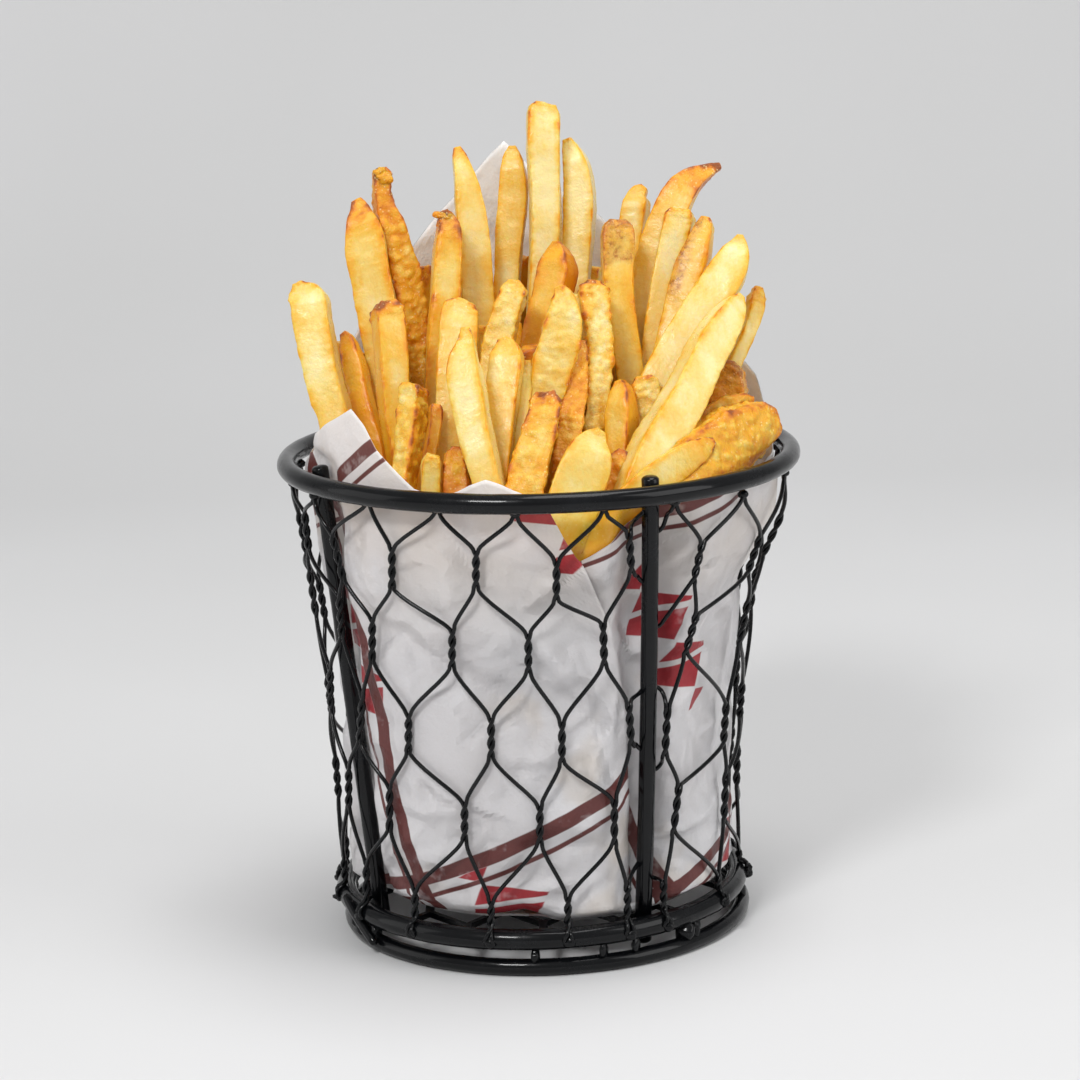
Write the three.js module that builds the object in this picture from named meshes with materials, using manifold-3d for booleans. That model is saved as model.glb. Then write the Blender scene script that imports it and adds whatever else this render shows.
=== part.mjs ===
// A portion of french fries standing in a round wire basket, with a sheet of greaseproof paper between them.
//
// Millimetres, +Z up. The origin is on the surface that the basket stands on, under the centre of the rim; -Y is the
// front. Azimuths are degrees from the front, growing towards +X. The basket is hand made and a little bent: its two
// base rings sit slightly to the left of the rim's centre, and the rim leans by about half a degree.
//
// Pieces: rim ring, upper and lower base ring, four upright rods, four links between the base rings, the hexagonal
// netting of the wall, the netting of the floor, the paper liner, and the heap of fries as one solid.
import * as THREE from 'three';
import * as BufferGeometryUtils from 'three/addons/utils/BufferGeometryUtils.js';
import Module from 'manifold-3d';

const wasm = await Module();
wasm.setup();

// ---------------------------------------------------------------------------------------------- driving dimensions
const RIM = { r: 55, wire: 2.18, z: 104.27, lean: 0.0095 }; // ring radius, wire radius, height, lean about Y in radians
const UPPER = { r: 43.75, wire: 2.33, z: 8.04, x: -2.72 }; // upper base ring
const LOWER = { r: 43.61, wire: 1.86, z: 1.86, x: -1.71 }; // lower base ring, which stands on the surface
const ROD = { wire: 1.85, bottom: 3.0, top: 107.1, inTop: 50.67, inBottom: 38.55 }; // upright rods, welded inside the rings
const RODS = [[-67, -65], [26.5, 33.7], [115, 117], [-155, -153]]; // azimuth of each rod at its top and at its bottom
const LINKS = [-63, 42.5, 131, -140]; // azimuths of the links that join the two base rings
const STRAND = 0.58; // radius of one strand of the netting
const TWIST = 1.05; // half the width of two strands twisted together
const COLUMNS = 18; // twists in each row round the basket
const CELL = 16.4; // width of a cell of the netting
const PAPER = { t: 1.0, bottom: 9.1 }; // the liner's thickness here and the height of its underside
const GAP = 0.35; // clearance between pieces that touch
const FRY_CORE_TOP = 113; // height of the packed fries in the middle of the basket

const rad = (deg) => (deg * Math.PI) / 180;
const clamp = (v, lo, hi) => Math.min(hi, Math.max(lo, v));
const mix = (a, b, t) => a + (b - a) * t;
const smooth = (t) => t * t * (3 - 2 * t);
const turn = (a) => ((((a + 180) % 360) + 360) % 360) - 180; // an angle folded into -180..180

// ---------------------------------------------------------------------------------------------- the basket's shape
// Height as a share of the way from the upper base ring to the rim, and the centre of the basket at a height.
const rise = (z) => clamp((z - UPPER.z) / (RIM.z - UPPER.z), 0, 1.02);
const centreX = (z) => UPPER.x * (1 - clamp(rise(z), 0, 1));

// A periodic curve through [azimuth, value] pairs, eased between them.
function around(pairs) {
  return (azimuth) => {
    const n = pairs.length;
    for (let i = 0; i < n; i++) {
      const [a, va] = pairs[i];
      let [b, vb] = pairs[(i + 1) % n];
      if (b <= a) b += 360;
      let x = azimuth;
      while (x < a) x += 360;
      while (x >= a + 360) x -= 360;
      if (x <= b) return mix(va, vb, (1 - Math.cos((Math.PI * (x - a)) / (b - a))) / 2);
    }
    return pairs[0][1];
  };
}

// How far the netting is drawn in at mid height: least over the rods, most on the right.
const waist = around([[-155, 1.7], [-110, 3.2], [-67, 1.7], [-18, 2.6], [30, 1.7], [58, 3.4], [82, 4.6], [115, 1.9], [160, 3.0]]);
function wallRadius(azimuth, z) {
  const t = rise(z);
  return UPPER.r + 0.9 * (1 - t) + (RIM.r - UPPER.r) * t - waist(azimuth) * 4 * t * (1 - t);
}

// Where a rod's centreline is at a height, as azimuth and radius about the basket's centre there.
function rodAt([top, bottom], z) {
  const t = clamp((z - ROD.bottom) / (ROD.top - ROD.bottom), 0, 1);
  return { azimuth: mix(bottom, top, t), radius: mix(ROD.inBottom, ROD.inTop, t) };
}

// ---------------------------------------------------------------------------------------------- mesh helpers
// Position-only, shared vertices, and faces that point out.
function closed(geometry) {
  let g = geometry.clone();
  for (const name of Object.keys(g.attributes)) if (name !== 'position') g.deleteAttribute(name);
  g = BufferGeometryUtils.mergeVertices(g, 1e-4);
  const p = g.attributes.position, index = Array.from(g.index.array);
  const kept = [];
  let volume = 0;
  const a = new THREE.Vector3(), b = new THREE.Vector3(), c = new THREE.Vector3();
  for (let i = 0; i < index.length; i += 3) {
    const [u, v, w] = index.slice(i, i + 3);
    if (u === v || v === w || w === u) continue;
    kept.push(u, v, w);
    a.fromBufferAttribute(p, u); b.fromBufferAttribute(p, v); c.fromBufferAttribute(p, w);
    volume += a.dot(b.cross(c)) / 6;
  }
  if (volume < 0) for (let i = 0; i < kept.length; i += 3) [kept[i + 1], kept[i + 2]] = [kept[i + 2], kept[i + 1]];
  g.setIndex(kept);
  return g;
}
function fromLists(points, faces) {
  const g = new THREE.BufferGeometry();
  g.setAttribute('position', new THREE.Float32BufferAttribute(points.flat(), 3));
  g.setIndex(faces.flat());
  return closed(g);
}
function toManifold(geometry) {
  return new wasm.Manifold(new wasm.Mesh({
    numProp: 3,
    vertProperties: new Float32Array(geometry.attributes.position.array),
    triVerts: new Uint32Array(geometry.index.array),
  }));
}
function fromManifold(manifold) {
  const m = manifold.getMesh();
  const g = new THREE.BufferGeometry();
  g.setAttribute('position', new THREE.BufferAttribute(new Float32Array(m.vertProperties), 3));
  g.setIndex(Array.from(m.triVerts));
  return g;
}

// A ring of round wire, as an eight-sided section with flats at the top and bottom, lying flat at height 0.
function ringGeometry(radius, wire, steps) {
  const section = [];
  for (let i = 0; i <= 8; i++) {
    const a = Math.PI / 8 + (i * Math.PI) / 4;
    const r = wire / Math.cos(Math.PI / 8);
    section.push(new THREE.Vector2(radius + r * Math.cos(a), r * Math.sin(a)));
  }
  const g = new THREE.LatheGeometry(section, steps);
  g.rotateX(Math.PI / 2);
  return closed(g);
}

// A netting of flat-sided strands. Each point has a place on the sheet (u across, v up) and a place in space with
// the sheet's normal there; each strand joins two points and has a half width. At a point the sides of neighbouring
// strands meet in one corner, so the whole net is a single closed skin.
function netGeometry(points, strands, depth) {
  const ends = points.map(() => []);
  strands.forEach((s, k) => {
    for (const [from, to] of [[s.a, s.b], [s.b, s.a]]) {
      const du = points[from].du(points[to]), dv = points[to].v - points[from].v;
      ends[from].push({ strand: k, angle: Math.atan2(dv, du), half: s.half });
    }
  });
  const out = [], faces = [], corner = new Map();
  points.forEach((p, i) => {
    const e = ends[i].sort((x, y) => x.angle - y.angle);
    const list = [];
    const add = (u, v) => {
      const here = [];
      for (const side of [1, -1]) { out.push(p.place(u, v, side * depth)); here.push(out.length - 1); }
      list.push(here);
      return here;
    };
    if (e.length === 1) {
      const { angle, half, strand } = e[0];
      const right = add(half * Math.sin(angle), -half * Math.cos(angle));
      const left = add(-half * Math.sin(angle), half * Math.cos(angle));
      corner.set(`${i}/${strand}`, { left, right });
      faces.push([right[0], left[0], left[1]], [right[0], left[1], right[1]]);
      return;
    }
    const shared = e.map((s, k) => {
      const n = e[(k + 1) % e.length];
      let between = n.angle - s.angle;
      if (between <= 0) between += 2 * Math.PI;
      // the left side of strand s meets the right side of the next strand
      const sin = Math.sin(between);
      let u, v;
      if (Math.abs(sin) < 0.2) { u = -s.half * Math.sin(s.angle); v = s.half * Math.cos(s.angle); }
      else {
        const along = (n.half + s.half * Math.cos(between)) / sin;
        u = along * Math.cos(s.angle) - s.half * Math.sin(s.angle);
        v = along * Math.sin(s.angle) + s.half * Math.cos(s.angle);
      }
      return add(u, v);
    });
    e.forEach((s, k) => {
      corner.set(`${i}/${s.strand}`, { left: shared[k], right: shared[(k + e.length - 1) % e.length] });
    });
    for (let k = 1; k + 1 < list.length; k++) {
      faces.push([list[0][0], list[k][0], list[k + 1][0]], [list[0][1], list[k + 1][1], list[k][1]]);
    }
  });
  strands.forEach((s, k) => {
    const A = corner.get(`${s.a}/${k}`), B = corner.get(`${s.b}/${k}`);
    const loopA = [A.right[0], A.left[0], A.left[1], A.right[1]];
    const loopB = [B.left[0], B.right[0], B.right[1], B.left[1]];
    for (let q = 0; q < 4; q++) {
      const n = (q + 1) % 4;
      faces.push([loopA[q], loopB[q], loopB[n]], [loopA[q], loopB[n], loopA[n]]);
    }
  });
  return fromLists(out, faces);
}

// ---------------------------------------------------------------------------------------------- wall netting
// Twists row by row from the rim down. Columns are numbered from the left side of the front to the right side; every
// second row is half a column over. Only the front's uneven spacing is listed, and the rest is evenly spaced.
const LAST = COLUMNS;
const TWIST_ROWS = [
  { first: -5, high: 94.0, low: 85.2, azimuths: [-69.5, -54.8, -36.5, -14.9, 3.4, 20.2, 39.0, 64.0, 84.5] },
  { first: -5.5, high: 76.8, low: 68.0, azimuths: [-77.5, -60.5, -45.8, -22.2, -3.2, 14.8, 27.5, 39.6, 66.0] },
  { first: -5, high: 57.0, low: 48.0, azimuths: [-74.0, -55.5, -36.8, -13.2, 5.0, 20.9, 35.0, 60.5, 83.5] },
  { first: -4.5, high: 38.4, low: 29.4, azimuths: [-65.6, -45.6, -21.4, -0.9, 18.6, 28.2, 39.0, 64.0] },
  { first: -4, high: 17.3, low: 10.9, azimuths: [-59.0, -38.0, -14.5, 6.6, 22.6, 36.0, 59.5, 85.0] },
];
const APEX = { first: -3.5, z: 100.9, azimuths: [-41.1, -23.0, -5.6, 13.7, 32.5, 55.0, 77.0] };
const SEAM = { column: 0.5, half: 3.4 }; // where the netting's two edges hook on the right front rod

function fullRow(row) {
  const list = row.azimuths.map((azimuth, i) => ({ column: row.first + i, azimuth }));
  const end = list[list.length - 1], missing = LAST - list.length;
  for (let i = 1; i <= missing; i++) {
    list.push({ column: end.column + i, azimuth: mix(end.azimuth, list[0].azimuth + 360, i / (missing + 1)) });
  }
  return list;
}
function wallNet() {
  const points = [], strands = [];
  const point = (azimuth, z) => {
    const R = wallRadius(azimuth, z);
    points.push({
      azimuth, v: z,
      du: (other) => rad(turn(other.azimuth - azimuth)) * R,
      place: (u, v, d) => {
        const a = rad(azimuth + (u / R) * (180 / Math.PI)), zz = z + v;
        const r = wallRadius(azimuth, clamp(zz, UPPER.z, RIM.z)) + d;
        return [centreX(zz) + r * Math.sin(a), -r * Math.cos(a), zz];
      },
    });
    return points.length - 1;
  };
  const key = (column) => ((Math.round(column * 2) % (2 * COLUMNS)) + 2 * COLUMNS) % (2 * COLUMNS);
  let above = new Map();
  for (const { column, azimuth } of fullRow(APEX)) above.set(key(column), { foot: point(azimuth, APEX.z) });
  TWIST_ROWS.forEach((row, r) => {
    const here = new Map();
    for (const { column, azimuth } of fullRow(row)) {
      const seam = (r === 1 || r === 3) && key(column) === key(SEAM.column);
      if (seam) {
        here.set(key(column), { seam: azimuth, high: row.high, low: row.low });
        continue;
      }
      const top = point(azimuth, row.high), foot = point(azimuth, row.low);
      strands.push({ a: top, b: foot, half: TWIST });
      here.set(key(column), { top, foot });
    }
    // strands from each foot above to the two tops below it
    for (const [k, upper] of above) {
      for (const side of [-1, 1]) {
        const lower = here.get((k + side + 2 * COLUMNS) % (2 * COLUMNS));
        if (upper.seam !== undefined) {
          const end = point(upper.seam + side * SEAM.half, upper.low - 5);
          strands.push({ a: end, b: lower.top, half: STRAND });
        } else if (lower.seam !== undefined) {
          const end = point(lower.seam - side * SEAM.half, lower.high + 5);
          strands.push({ a: upper.foot, b: end, half: STRAND });
        } else strands.push({ a: upper.foot, b: lower.top, half: STRAND });
      }
    }
    above = here;
  });
  return netGeometry(points, strands, STRAND);
}

// ---------------------------------------------------------------------------------------------- floor netting
// The same hexagonal cells, lying flat inside the upper base ring and cut off just short of it.
function floorNet() {
  const limit = UPPER.r - UPPER.wire / Math.cos(Math.PI / 8) - GAP - 0.2;
  const points = [], strands = [], found = new Map();
  const height = CELL * 1.16, half = height * 0.24; // row spacing and half a twist's length
  const point = (u, v) => {
    const k = `${u.toFixed(2)},${v.toFixed(2)}`;
    if (found.has(k)) return found.get(k);
    points.push({
      u, v,
      du: (other) => other.u - u,
      place: (x, y, d) => [UPPER.x + u + x, v + y, UPPER.z - 0.06 + d],
    });
    found.set(k, points.length - 1);
    return points.length - 1;
  };
  const link = (p, q, width) => {
    const inP = Math.hypot(...p) < limit - 2.2, inQ = Math.hypot(...q) < limit - 2.2;
    if (!inP && !inQ) return;
    let [s, e] = inP ? [p, q] : [q, p];
    if (!(inP && inQ)) { // run out to the ring and stop
      const d = [e[0] - s[0], e[1] - s[1]], a = d[0] ** 2 + d[1] ** 2;
      const b = 2 * (s[0] * d[0] + s[1] * d[1]), c = s[0] ** 2 + s[1] ** 2 - (limit - 0.5) ** 2;
      const t = Math.min(1, (-b + Math.sqrt(b * b - 4 * a * c)) / (2 * a));
      e = [s[0] + d[0] * t, s[1] + d[1] * t];
    }
    strands.push({ a: point(...s), b: point(...e), half: width });
  };
  for (let r = -4; r <= 4; r++) {
    for (let c = -4; c <= 4; c++) {
      const u = (c + (((r % 2) + 2) % 2) / 2) * CELL, v = r * height;
      link([u, v - half], [u, v + half], TWIST * 0.9);
      for (const side of [-1, 1]) link([u, v + half], [u + (side * CELL) / 2, v + height - half], STRAND);
    }
  }
  // keep only what hangs together with the middle
  const near = new Map(points.map((_, i) => [i, []]));
  strands.forEach((s) => { near.get(s.a).push(s.b); near.get(s.b).push(s.a); });
  const reached = new Set(), queue = [strands[Math.floor(strands.length / 2)].a];
  while (queue.length) {
    const i = queue.pop();
    if (reached.has(i)) continue;
    reached.add(i);
    queue.push(...near.get(i));
  }
  const order = [...reached].sort((x, y) => x - y), rename = new Map(order.map((i, k) => [i, k]));
  const sheet = netGeometry(order.map((i) => points[i]),
    strands.filter((s) => reached.has(s.a)).map((s) => ({ a: rename.get(s.a), b: rename.get(s.b), half: s.half })), 0.62);
  let net = toManifold(sheet);
  for (const rod of RODS) net = net.subtract(toManifold(rodGeometry(rod, GAP)));
  return fromManifold(net.decompose().sort((a, b) => b.volume() - a.volume())[0]);
}

// ---------------------------------------------------------------------------------------------- paper liner
// The sheet's upper edge: a tall corner at the back, corners at the front left and the right, and an open V in front.
const paperTop = around([
  [-174, 169], [-160, 160], [-145, 149], [-130, 139], [-116, 130], [-104, 118], [-94, 108], [-84, 105], [-76, 108],
  [-70, 113], [-60, 117], [-52, 120.5], [-45, 114], [-38, 107], [-31, 102.5], [-22, 105], [-14, 108.4], [-5, 102],
  [8, 90.5], [22, 97], [38, 103], [55, 103], [75, 104.5], [88, 113], [97, 122], [107, 115], [122, 118], [140, 132],
  [161, 152], [173, 163],
]);
// The liner lies behind the netting, and is pressed in where a rod passes.
function paperRadius(azimuth, z) {
  const free = Math.min(wallRadius(azimuth, z) - STRAND - 0.8, 51.9 - 0.095 * Math.max(0, z - 103));
  let r = free;
  if (z <= ROD.top + 1.9) {
    for (const rod of RODS) {
      const at = rodAt(rod, z), d = Math.abs(turn(azimuth - at.azimuth));
      const pressed = at.radius - ROD.wire / Math.cos(Math.PI / 8) - GAP;
      if (d < 12) r = Math.min(r, mix(pressed, free, smooth(clamp((d - 4.6) / 7.4, 0, 1))));
    }
  }
  if (z < 12) r = Math.min(r, mix(38.2, 40.7, clamp((z - PAPER.bottom) / 1.9, 0, 1)));
  return r;
}
// Columns of points follow the rods' slant, so that the pressed-in folds stay under them.
function paperColumns() {
  const list = [];
  const centres = RODS.map(([top, bottom]) => (top + bottom) / 2).sort((a, b) => a - b);
  centres.forEach((c, i) => {
    for (const d of [-12, -5.2, 0, 5.2, 12]) list.push(c + d);
    const next = i + 1 < centres.length ? centres[i + 1] : centres[0] + 360;
    const from = c + 12, to = next - 12, n = Math.max(1, Math.round((to - from) / 12.5));
    for (let k = 1; k < n; k++) list.push(mix(from, to, k / n));
  });
  return list;
}
function columnAzimuth(column, z) {
  for (const rod of RODS) {
    const middle = (rod[0] + rod[1]) / 2, d = Math.abs(turn(column - middle));
    if (d < 26) return column + (rodAt(rod, z).azimuth - middle) * (1 - smooth(clamp((d - 12) / 14, 0, 1)));
  }
  return column;
}
// grow > 0 swells the sheet on every side, for cutting the space it needs out of the fries
function paperGeometry(grow = 0) {
  const columns = paperColumns(), n = columns.length;
  const low = [PAPER.bottom, 11.2, 16.5, 30, 48, 66, 84];
  const points = [], outer = [], inner = [];
  const at = (column, z, radius) => {
    const a = rad(columnAzimuth(column, z));
    points.push([centreX(z) + radius * Math.sin(a), -radius * Math.cos(a), z]);
    return points.length - 1;
  };
  const heights = (column) => {
    const top = paperTop(column), clear = ROD.top + 1.8; // one level just above the rods' ends where the sheet is tall
    return top > 112 ? [...low, clear, mix(clear, top, 0.5), top] : [...low, mix(84, top, 0.36), mix(84, top, 0.7), top];
  };
  const levels = low.length + 3;
  for (let k = 0; k < levels; k++) {
    outer.push(columns.map((c) => {
      const z = heights(c)[k] + (k === 0 ? -grow : k === levels - 1 ? grow : 0);
      return at(c, z, paperRadius(columnAzimuth(c, heights(c)[k]), heights(c)[k]) + grow);
    }));
    inner.push(columns.map((c) => {
      const h = heights(c)[k];
      const z = k === 0 ? h + PAPER.t + grow : k === 1 ? h + 0.4 * PAPER.t : h + (k === levels - 1 ? grow : 0);
      return at(c, z, paperRadius(columnAzimuth(c, h), h) - PAPER.t - grow);
    }));
  }
  const faces = [];
  const quad = (a, b, c, d) => faces.push([a, b, c], [a, c, d]);
  for (let k = 0; k + 1 < levels; k++) {
    for (let i = 0; i < n; i++) {
      const j = (i + 1) % n;
      quad(outer[k][i], outer[k][j], outer[k + 1][j], outer[k + 1][i]);
      quad(inner[k][j], inner[k][i], inner[k + 1][i], inner[k + 1][j]);
    }
  }
  for (let i = 0; i < n; i++) {
    const j = (i + 1) % n, k = levels - 1;
    quad(outer[k][i], outer[k][j], inner[k][j], inner[k][i]);
  }
  points.push([centreX(0), 0, PAPER.bottom - grow]);
  const under = points.length - 1;
  points.push([centreX(0), 0, PAPER.bottom + PAPER.t + grow]);
  const over = points.length - 1;
  for (let i = 0; i < n; i++) {
    const j = (i + 1) % n;
    faces.push([under, outer[0][j], outer[0][i]], [over, inner[0][i], inner[0][j]]);
  }
  return fromLists(points, faces);
}

// ---------------------------------------------------------------------------------------------- the fries
// Fries that stand clear of the heap: the middle of the foot, the middle of the tip, and the width.
const FRIES = [
  [[-36.9, -17.2, 88.4], [-49.9, -4.0, 144.2], 9.0],
  [[-33.1, -10.0, 92.6], [-41.4, 4.0, 131.8], 5.6],
  [[-30.9, 5.2, 96.9], [-37.7, 13.9, 159.7], 9.7],
  [[-27.7, 10.5, 97.7], [-32.4, 19.1, 166.0], 7.1],
  [[-27.9, -22.9, 88.0], [-31.1, -12.0, 140.4], 7.7],
  [[-22.6, -1.1, 92.0], [-18.9, 12.0, 156.6], 7.3],
  [[-12.1, 16.3, 103.6], [-15.6, 26.0, 169.2], 8.0],
  [[-7.7, 23.3, 98.9], [-3.2, 33.0, 168.4], 6.3],
  [[1.1, 17.2, 109.7], [4.4, 30.0, 177.7], 7.4],
  [[8.1, 22.7, 102.4], [9.1, 34.0, 169.6], 7.2],
  [[17.5, 18.8, 101.1], [25.8, 27.0, 158.8], 7.1],
  [[20.4, 10.0, 102.3], [42.3, 21.4, 163.5], 8.8],
  [[23.8, 3.3, 100.0], [33.7, 11.5, 154.9], 6.1],
  [[24.8, -4.4, 97.4], [38.4, 8.8, 153.5], 7.1],
  [[21.4, -14.6, 105.3], [45.4, 2.6, 150.0], 8.9],
  [[35.3, -4.7, 95.4], [49.5, 10.0, 137.5], 4.4],
  [[17.0, -38.2, 91.8], [44.1, -8.0, 138.4], 9.7],
  [[22.0, -3.1, 97.4], [19.2, 8.0, 153.8], 6.8],
  [[-3.7, -1.6, 98.3], [5.8, 10.0, 149.2], 8.2],
  [[9.8, -23.7, 93.3], [13.0, -5.6, 142.3], 6.2],
  [[-1.4, -21.9, 93.6], [5.6, -15.3, 142.8], 7.8],
  [[-11.9, -17.2, 95.6], [-3.8, -5.0, 142.9], 7.1],
  [[-18.1, -18.7, 93.8], [-15.0, -6.0, 138.8], 9.2],
  [[-8.5, -43.9, 92.0], [-14.2, -31.0, 136.8], 7.9],
  [[-10.2, -36.0, 88.0], [-6.5, -20.0, 132.7], 7.5],
  [[-29.1, -39.8, 89.0], [-25.8, -28.0, 124.8], 6.6],
  [[-25.5, -33.2, 88.0], [-21.4, -19.8, 119.2], 3.5],
  [[-22.8, -37.9, 88.0], [-21.9, -39.9, 112.0], 4.3],
  [[-16.3, -39.7, 88.0], [-17.1, -36.2, 113.0], 6.0],
  [[-4.5, -43.3, 91.8], [1.8, -30.0, 122.3], 7.7],
  [[2.9, -46.0, 88.0], [12.8, -36.0, 115.0], 10.7],
  [[16.9, -30.4, 88.0], [17.7, -20.9, 123.0], 7.2],
  [[22.6, -23.4, 89.5], [22.8, -15.8, 122.9], 6.4],
  [[7.0, -45.1, 88.0], [36.3, -30.0, 111.3], 7.6],
  [[34.7, -13.8, 89.0], [42.6, -0.1, 122.5], 7.8],
  [[26.4, -36.5, 98.1], [48.2, -11.7, 109.2], 9.4],
  [[3.7, -35.4, 89.2], [10.3, -13.1, 130.5], 5.4],
  [[-5.9, -31.6, 91.2], [-1.8, -18.7, 127.7], 3.0],
  [[11.0, -36.9, 88.0], [17.6, -31.1, 109.9], 4.8],
  [[24.9, -18.6, 92.2], [46.3, -10.3, 116.3], 6.0],
];
// The fries behind them, towards the back of the basket.
const BEHIND = [
  [[2.6, 25.6, 92.0], [4.8, 40.4, 161.4], 6.6],
  [[-30.7, 23.0, 92.0], [-31.5, 25.0, 147.5], 6.9],
  [[-24.7, 30.5, 92.0], [-26.2, 31.6, 142.0], 8.3],
  [[9.8, 33.6, 92.0], [13.1, 39.1, 139.8], 7.8],
  [[-16.9, 35.5, 92.0], [-17.2, 36.9, 140.8], 7.3],
  [[-3.6, 38.2, 92.0], [-3.2, 38.5, 142.8], 7.9],
  [[25.6, 15.5, 92.0], [35.4, 18.8, 142.2], 7.8],
  [[27.4, 6.8, 92.0], [39.8, 10.9, 142.1], 7.5],
  [[10.7, 13.8, 92.0], [11.7, 14.7, 138.1], 6.6],
  [[32.9, 27.6, 92.0], [33.3, 27.6, 135.5], 6.9],
  [[11.3, 6.3, 92.0], [12.1, 7.2, 136.3], 8.5],
  [[-12.8, 28.4, 92.0], [-13.2, 29.3, 132.1], 8.6],
  [[8.5, -0.9, 92.0], [10.4, -0.1, 138.5], 7.6],
  [[-5.2, 10.4, 92.0], [-5.4, 15.2, 130.7], 8.1],
  [[-11.1, 0.8, 92.0], [-13.5, 1.7, 132.2], 7.5],
  [[-20.5, 17.4, 92.0], [-24.3, 23.9, 131.6], 6.9],
  [[0.5, -10.3, 92.0], [0.5, -10.8, 129.4], 7.9],
  [[3.1, 9.6, 92.0], [5.2, 10.7, 129.4], 6.7],
];
function fryGeometry([foot, tip, width], k) {
  const from = new THREE.Vector3(...foot), to = new THREE.Vector3(...tip);
  const length = from.distanceTo(to);
  const g = new THREE.BoxGeometry(width, width * (0.9 + 0.12 * Math.sin(k * 2.1)), length);
  const p = g.attributes.position;
  for (let i = 0; i < p.count; i++) { // a little narrower and cut slantwise at the tip
    if (p.getZ(i) > 0) {
      const cut = 0.16 * p.getX(i) * Math.sin(k * 1.3) + 0.16 * p.getY(i) * Math.cos(k * 1.9);
      p.setXYZ(i, p.getX(i) * 0.86, p.getY(i) * 0.86, p.getZ(i) + cut);
    }
  }
  g.rotateZ(0.35 * Math.sin(k * 2.7));
  g.applyQuaternion(new THREE.Quaternion().setFromUnitVectors(new THREE.Vector3(0, 0, 1), to.clone().sub(from).normalize()));
  g.translate((foot[0] + tip[0]) / 2, (foot[1] + tip[1]) / 2, (foot[2] + tip[2]) / 2);
  return closed(g);
}
// The fries packed inside the liner, with a domed top.
function fryCore() {
  const n = 20, points = [], rows = [];
  const free = (z) => rodAt(RODS[0], z).radius - ROD.wire / Math.cos(Math.PI / 8) - GAP - PAPER.t - 2 * GAP;
  const bottom = PAPER.bottom + PAPER.t + GAP + 0.25;
  const levels = [[bottom, 35.2], [13.5, 37.3], [30, free(30)], [65, free(65)], [97, free(97)],
    [104, 43], [109.5, 33], [FRY_CORE_TOP, 16]];
  for (const [z, r] of levels) {
    rows.push(Array.from({ length: n }, (_, i) => {
      const a = (2 * Math.PI * i) / n;
      points.push([centreX(z) + r * Math.sin(a), -r * Math.cos(a), z]);
      return points.length - 1;
    }));
  }
  const faces = [];
  for (let k = 0; k + 1 < rows.length; k++) {
    for (let i = 0; i < n; i++) {
      const j = (i + 1) % n;
      faces.push([rows[k][i], rows[k][j], rows[k + 1][j]], [rows[k][i], rows[k + 1][j], rows[k + 1][i]]);
    }
  }
  points.push([centreX(0), 0, bottom], [0, 0, FRY_CORE_TOP + 1]);
  const under = points.length - 2, over = points.length - 1, top = rows.length - 1;
  for (let i = 0; i < n; i++) {
    const j = (i + 1) % n;
    faces.push([under, rows[0][j], rows[0][i]], [over, rows[top][i], rows[top][j]]);
  }
  return fromLists(points, faces);
}
function friesGeometry() {
  let heap = toManifold(fryCore());
  [...FRIES, ...BEHIND].forEach((f, k) => { heap = heap.add(toManifold(fryGeometry(f, k))); });
  heap = heap.subtract(toManifold(paperGeometry(GAP)));
  const rim = ringGeometry(RIM.r, RIM.wire + GAP, 40);
  rim.rotateY(RIM.lean);
  rim.translate(0, 0, RIM.z);
  heap = heap.subtract(toManifold(rim));
  for (const rod of RODS) heap = heap.subtract(toManifold(rodGeometry(rod, GAP)));
  const bits = heap.decompose().sort((a, b) => b.volume() - a.volume());
  return fromManifold(bits[0].simplify ? bits[0].simplify(0.02) : bits[0]);
}

// ---------------------------------------------------------------------------------------------- rods and links
function rodGeometry([top, bottom], grow = 0) {
  const high = new THREE.Vector3(ROD.inTop * Math.sin(rad(top)), -ROD.inTop * Math.cos(rad(top)), ROD.top + grow);
  const low = new THREE.Vector3(UPPER.x + ROD.inBottom * Math.sin(rad(bottom)), -ROD.inBottom * Math.cos(rad(bottom)), ROD.bottom - grow);
  const g = new THREE.CylinderGeometry(ROD.wire + grow, ROD.wire + grow, high.distanceTo(low), 8);
  g.applyQuaternion(new THREE.Quaternion().setFromUnitVectors(new THREE.Vector3(0, 1, 0), high.clone().sub(low).normalize()));
  g.translate((high.x + low.x) / 2, (high.y + low.y) / 2, (high.z + low.z) / 2);
  return closed(g);
}
function linkGeometry(azimuth) {
  const low = 2 * LOWER.wire + 0.3, high = UPPER.z - UPPER.wire - 0.3;
  const g = new THREE.BoxGeometry(4.6, 3.0, high - low);
  const p = g.attributes.position;
  for (let i = 0; i < p.count; i++) if (p.getZ(i) > 0) p.setX(i, p.getX(i) * 0.8);
  g.rotateZ(rad(azimuth));
  const x = (UPPER.x + LOWER.x) / 2, r = (UPPER.r + LOWER.r) / 2;
  g.translate(x + r * Math.sin(rad(azimuth)), -r * Math.cos(rad(azimuth)), (low + high) / 2);
  return closed(g);
}

// ---------------------------------------------------------------------------------------------- the whole
const basket = new THREE.Group();
const portion = new THREE.Group();
const metal = () => new THREE.MeshStandardMaterial({ color: 0x16181a, roughness: 0.34, metalness: 0.25 });
function piece(group, name, geometry, material) {
  const m = new THREE.Mesh(geometry, material);
  m.name = name;
  group.add(m);
  return m;
}

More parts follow.
